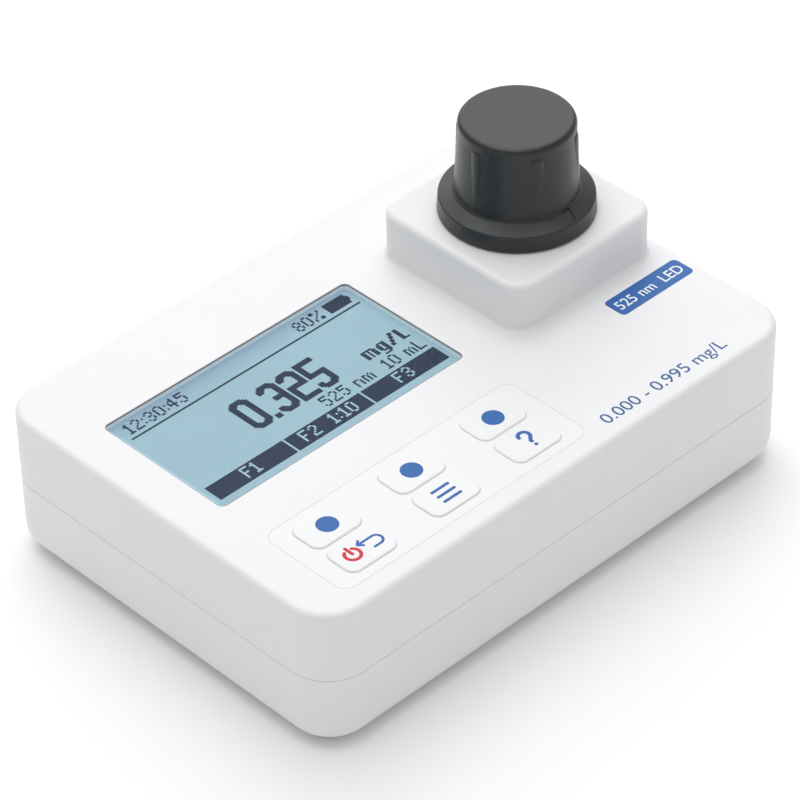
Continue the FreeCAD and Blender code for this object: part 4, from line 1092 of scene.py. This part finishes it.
class PHOTOMETER_OT_cap(bpy.types.Operator):
    """Finishes the cap, its ring and the cuvette holder, and adds the ribs and pointer floor"""
    bl_idname = "photometer.cap"
    bl_label = "Cap and well"

    def execute(self, context):
        look = context.scene.photometer_cap
        black = moulded("cap_black", look.color, look.gloss, 2400.0, 0.01 * MM, 0.1)
        refinish(black, "shield_cap")
        dress(self.pointer_floor(), black, "cap")
        dress(self.grip_ribs(), black, "cap")
        holder = moulded("holder_black", (0.012, 0.012, 0.012), 0.6, 2000.0)
        refinish(holder, "cuvette_holder")
        refinish(soft("felt", (0.02, 0.02, 0.02), 0.95, 5200.0), "light_seal_ring")
        return {"FINISHED"}

    def grip_ribs(self):
        """Six soft ribs that stand proud near the rim and run out above the grip's foot."""
        low, high, middle = box_of("shield_cap")
        axis_r, root_r, count, first = 10.5 * MM, 12.2 * MM, 6, -57.0
        outline = [(0, 7.5), (3.46, 7.5), (3.12, 20.5), (3.03, 21.0), (2.87, 21.4),
                   (2.55, 21.8), (0, 21.8)]
        profile = [(r * MM, z * MM) for r, z in outline]
        ribs = []
        for index in range(count):
            angle = math.radians(first + index * 360.0 / count)
            x, y = middle.x + axis_r * math.cos(angle), middle.y + axis_r * math.sin(angle)
            rib = turned("grip_rib", profile, (x, y, low.z), 96)
            ribs.append(cut_away(rib, disc("rib_tool", middle, root_r, low.z, high.z, 192)))
        return smooth(joined("grip_ribs", ribs))

    def pointer_floor(self):
        """The sloping floor of the pointer's notch, just under the shoulder's surface."""
        low, _, middle = box_of("shield_cap")
        inner, outer, half, sunk = 13.9 * MM, 16.9 * MM, 1.22 * MM, 0.3 * MM
        skirt_z = low.z + 4.15 * MM
        top, drop, lean = skirt_z + 1.22 * MM, 1.20 * MM, math.radians(3.0)
        floor = plate("pointer_floor", (middle.x - half, middle.y - outer, skirt_z - sunk),
                      (middle.x + half, middle.y - inner, top))
        make_active(floor)
        bpy.ops.object.mode_set(mode="EDIT")
        pick("VERT", lambda v: near(v.co.z, top) and near(v.co.y, middle.y - outer))
        bpy.ops.transform.translate(value=(0, 0, -drop))
        bpy.ops.mesh.select_all(action="SELECT")
        bpy.ops.transform.rotate(value=-lean, orient_axis="Z", orient_type="GLOBAL",
                                 center_override=(middle.x, middle.y, 0))
        bpy.ops.object.mode_set(mode="OBJECT")
        return smooth(floor)


# Optics, boards, screws and contacts

class PHOTOMETER_OT_inside(bpy.types.Operator):
    """Finishes the boards, optics and contacts, and models the case screws"""
    bl_idname = "photometer.inside"
    bl_label = "Inside"

    def execute(self, context):
        board = moulded("board_lacquer", (0.006, 0.075, 0.030), 0.25, 900.0, 0.02 * MM)
        refinish(board, "main_board", "lamp_board", "detector_board")
        refinish(moulded("chip_epoxy", (0.012, 0.012, 0.013), 0.55), "processor_chip", "beeper")
        lens = clear("lens_glass", (0.9, 0.95, 0.97), 0.03, 0.3)
        refinish(lens, "lamp_led", "lamp_lens", "beam_splitter")
        refinish(clear("filter_glass", (0.35, 0.05, 0.30), 0.05, 0.7), "colour_filter")
        can = metal("detector_can", (0.70, 0.58, 0.30), 0.3)
        refinish(can, "sample_detector", "reference_detector")
        zinc = metal("zinc", (0.58, 0.59, 0.60), 0.34)
        refinish(zinc, "board_screws", "holder_screws", "sensor_screws")
        refinish(metal("nickel", (0.66, 0.64, 0.60), 0.24), "battery_plates", "battery_springs")
        dress(self.case_screws(), zinc, "housing", ["case_screws"])
        return {"FINISHED"}

    def case_screws(self):
        """The four case screws, driven from below, with a cross recess in each head."""
        low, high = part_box("case_screws")
        head_r, shank_r, head, length = 2.7 * MM, 1.4 * MM, 1.8 * MM, high.z - low.z
        arm, half, over, depth = 1.5 * MM, 0.28 * MM, 0.5 * MM, 1.1 * MM
        profile = [(0, 0), (head_r * 0.72, 0), (head_r * 0.93, head * 0.16), (head_r, head * 0.42),
                   (head_r, head), (shank_r, head), (shank_r, length - 1.2 * MM),
                   (0.3 * MM, length), (0, length)]
        screws = []
        for x in (low.x + head_r, high.x - head_r):
            for y in (low.y + head_r, high.y - head_r):
                screw = turned("case_screw", profile, (x, y, low.z), 40)
                for angle in (0.3, 0.3 + math.pi / 2):
                    cut_away(screw, slab("recess", (x, y), (arm, half), low.z - over,
                                         low.z + depth, angle=angle))
                screws.append(screw)
        return smooth(joined("case_screw_set", screws))


# Cells

class PHOTOMETER_OT_cells(bpy.types.Operator):
    """Models the three round cells with their crimped ends and printed jackets"""
    bl_idname = "photometer.cells"
    bl_label = "Cells"

    def execute(self, context):
        look = context.scene.photometer_cells
        low, high, middle = box_of("battery_cells")
        radius, nub_r, nub, length = 7.1 * MM, 2.7 * MM, 1.3 * MM, 50.5 * MM
        profile = [(0, 0), (nub_r - 0.3 * MM, 0), (nub_r, 0.3 * MM), (nub_r, nub), (5.4 * MM, nub),
                   (5.6 * MM, nub + 0.15 * MM), (6.5 * MM, nub + 0.1 * MM),
                   (radius - 0.1 * MM, nub), (radius, nub + 0.35 * MM), (radius, length - 1.6 * MM),
                   (radius - 0.22 * MM, length - 1.2 * MM), (radius - 0.1 * MM, length - 0.5 * MM),
                   (radius - 0.5 * MM, length), (5.0 * MM, length), (4.6 * MM, length - 0.25 * MM),
                   (0, length - 0.25 * MM)]
        cells = []
        for index in range(3):
            forward = index % 2 == 0
            x = low.x + radius + index * (high.x - low.x - 2 * radius) / 2
            y = low.y if forward else high.y - length
            flipped = [(r, z if forward else length - z) for r, z in profile]
            cells.append(turned("cell", flipped, (x, y, middle.z), 72, along_y=True))
        jacket = self.jacket(look, low, high, radius, length)
        dress(joined("cell_set", cells), jacket, "housing", ["battery_cells"])
        return {"FINISHED"}

    def jacket(self, look, low, high, radius, length):
        """A lacquered jacket with a light band, a plus and a minus mark, and bare metal ends."""
        finish = Finish("cell_jacket", look.jacket_color, 0.3)
        start, pitch = low.x + radius, (high.x - low.x - 2 * radius) / 2
        number = (finish.axis("X") - start) / pitch + 0.5
        cell = finish.node("ShaderNodeMath", {"operation": "FLOOR"}, [number])
        across = finish.axis("X") - start - cell * pitch
        height = finish.axis("Z") - (low.z + high.z) / 2
        from_axis = finish.root(across * across + height * height)
        odd = finish.least(cell > 0.5, cell < 1.5)
        raw = finish.axis("Y") - low.y - odd * (high.y - low.y - length)
        along = raw + odd * (length - 2.0 * raw)
        bare = from_axis < radius - 0.12 * MM
        band = finish.least(along > 11.0 * MM, along < 15.5 * MM)
        plus_at, minus_at, arm, half = 7.5 * MM, length - 7.0 * MM, 1.7 * MM, 0.36 * MM

        def bar(at, reach, spread):
            return finish.least(abs(along - at) < reach, abs(across) < spread)

        plus = finish.most(bar(plus_at, half, arm), bar(plus_at, arm, half))
        marks = finish.most(plus, bar(minus_at, half, arm))
        color = finish.blend(finish.most(band, marks), look.jacket_color, look.mark_color)
        finish.color(finish.blend(bare, color, (0.62, 0.62, 0.60)))
        finish.link(bare, finish.shader.inputs["Metallic"])
        finish.rough(0.26 + 0.1 * finish.noise(300.0))
        finish.bump(finish.noise(500.0), 0.006 * MM)
        return finish.material


class PHOTOMETER_PT_panel(bpy.types.Panel):
    """Lists the steps that dress the photometer"""
    bl_label = "Photometer"
    bl_idname = "PHOTOMETER_PT_panel"
    bl_space_type = "VIEW_3D"
    bl_region_type = "UI"
    bl_category = "Photometer"

    def draw(self, context):
        for operator in OPERATORS:
            self.layout.operator(operator.bl_idname)


GROUPS = {"photometer_case": CaseLook, "photometer_display": DisplayLook,
          "photometer_print": PrintLook, "photometer_cap": CapLook,
          "photometer_cells": CellLook, "photometer_stage": StageLook}
OPERATORS = (PHOTOMETER_OT_stage, PHOTOMETER_OT_case, PHOTOMETER_OT_display, PHOTOMETER_OT_keys,
             PHOTOMETER_OT_prints, PHOTOMETER_OT_cap, PHOTOMETER_OT_inside, PHOTOMETER_OT_cells)


def register():
    for group in GROUPS.values():
        bpy.utils.register_class(group)
    for name, group in GROUPS.items():
        setattr(bpy.types.Scene, name, bpy.props.PointerProperty(type=group))
    for operator in OPERATORS:
        bpy.utils.register_class(operator)
    bpy.utils.register_class(PHOTOMETER_PT_panel)


def unregister():
    bpy.utils.unregister_class(PHOTOMETER_PT_panel)
    for operator in reversed(OPERATORS):
        bpy.utils.unregister_class(operator)
    for name, group in GROUPS.items():
        delattr(bpy.types.Scene, name)
        bpy.utils.unregister_class(group)


def main():
    register()
    bpy.ops.photometer.stage()
    bpy.ops.photometer.case()
    bpy.ops.photometer.display()
    bpy.ops.photometer.keys()
    bpy.ops.photometer.prints()
    bpy.ops.photometer.cap()
    bpy.ops.photometer.inside()
    bpy.ops.photometer.cells()
    start_fresh()


if __name__ == "__main__":
    main()
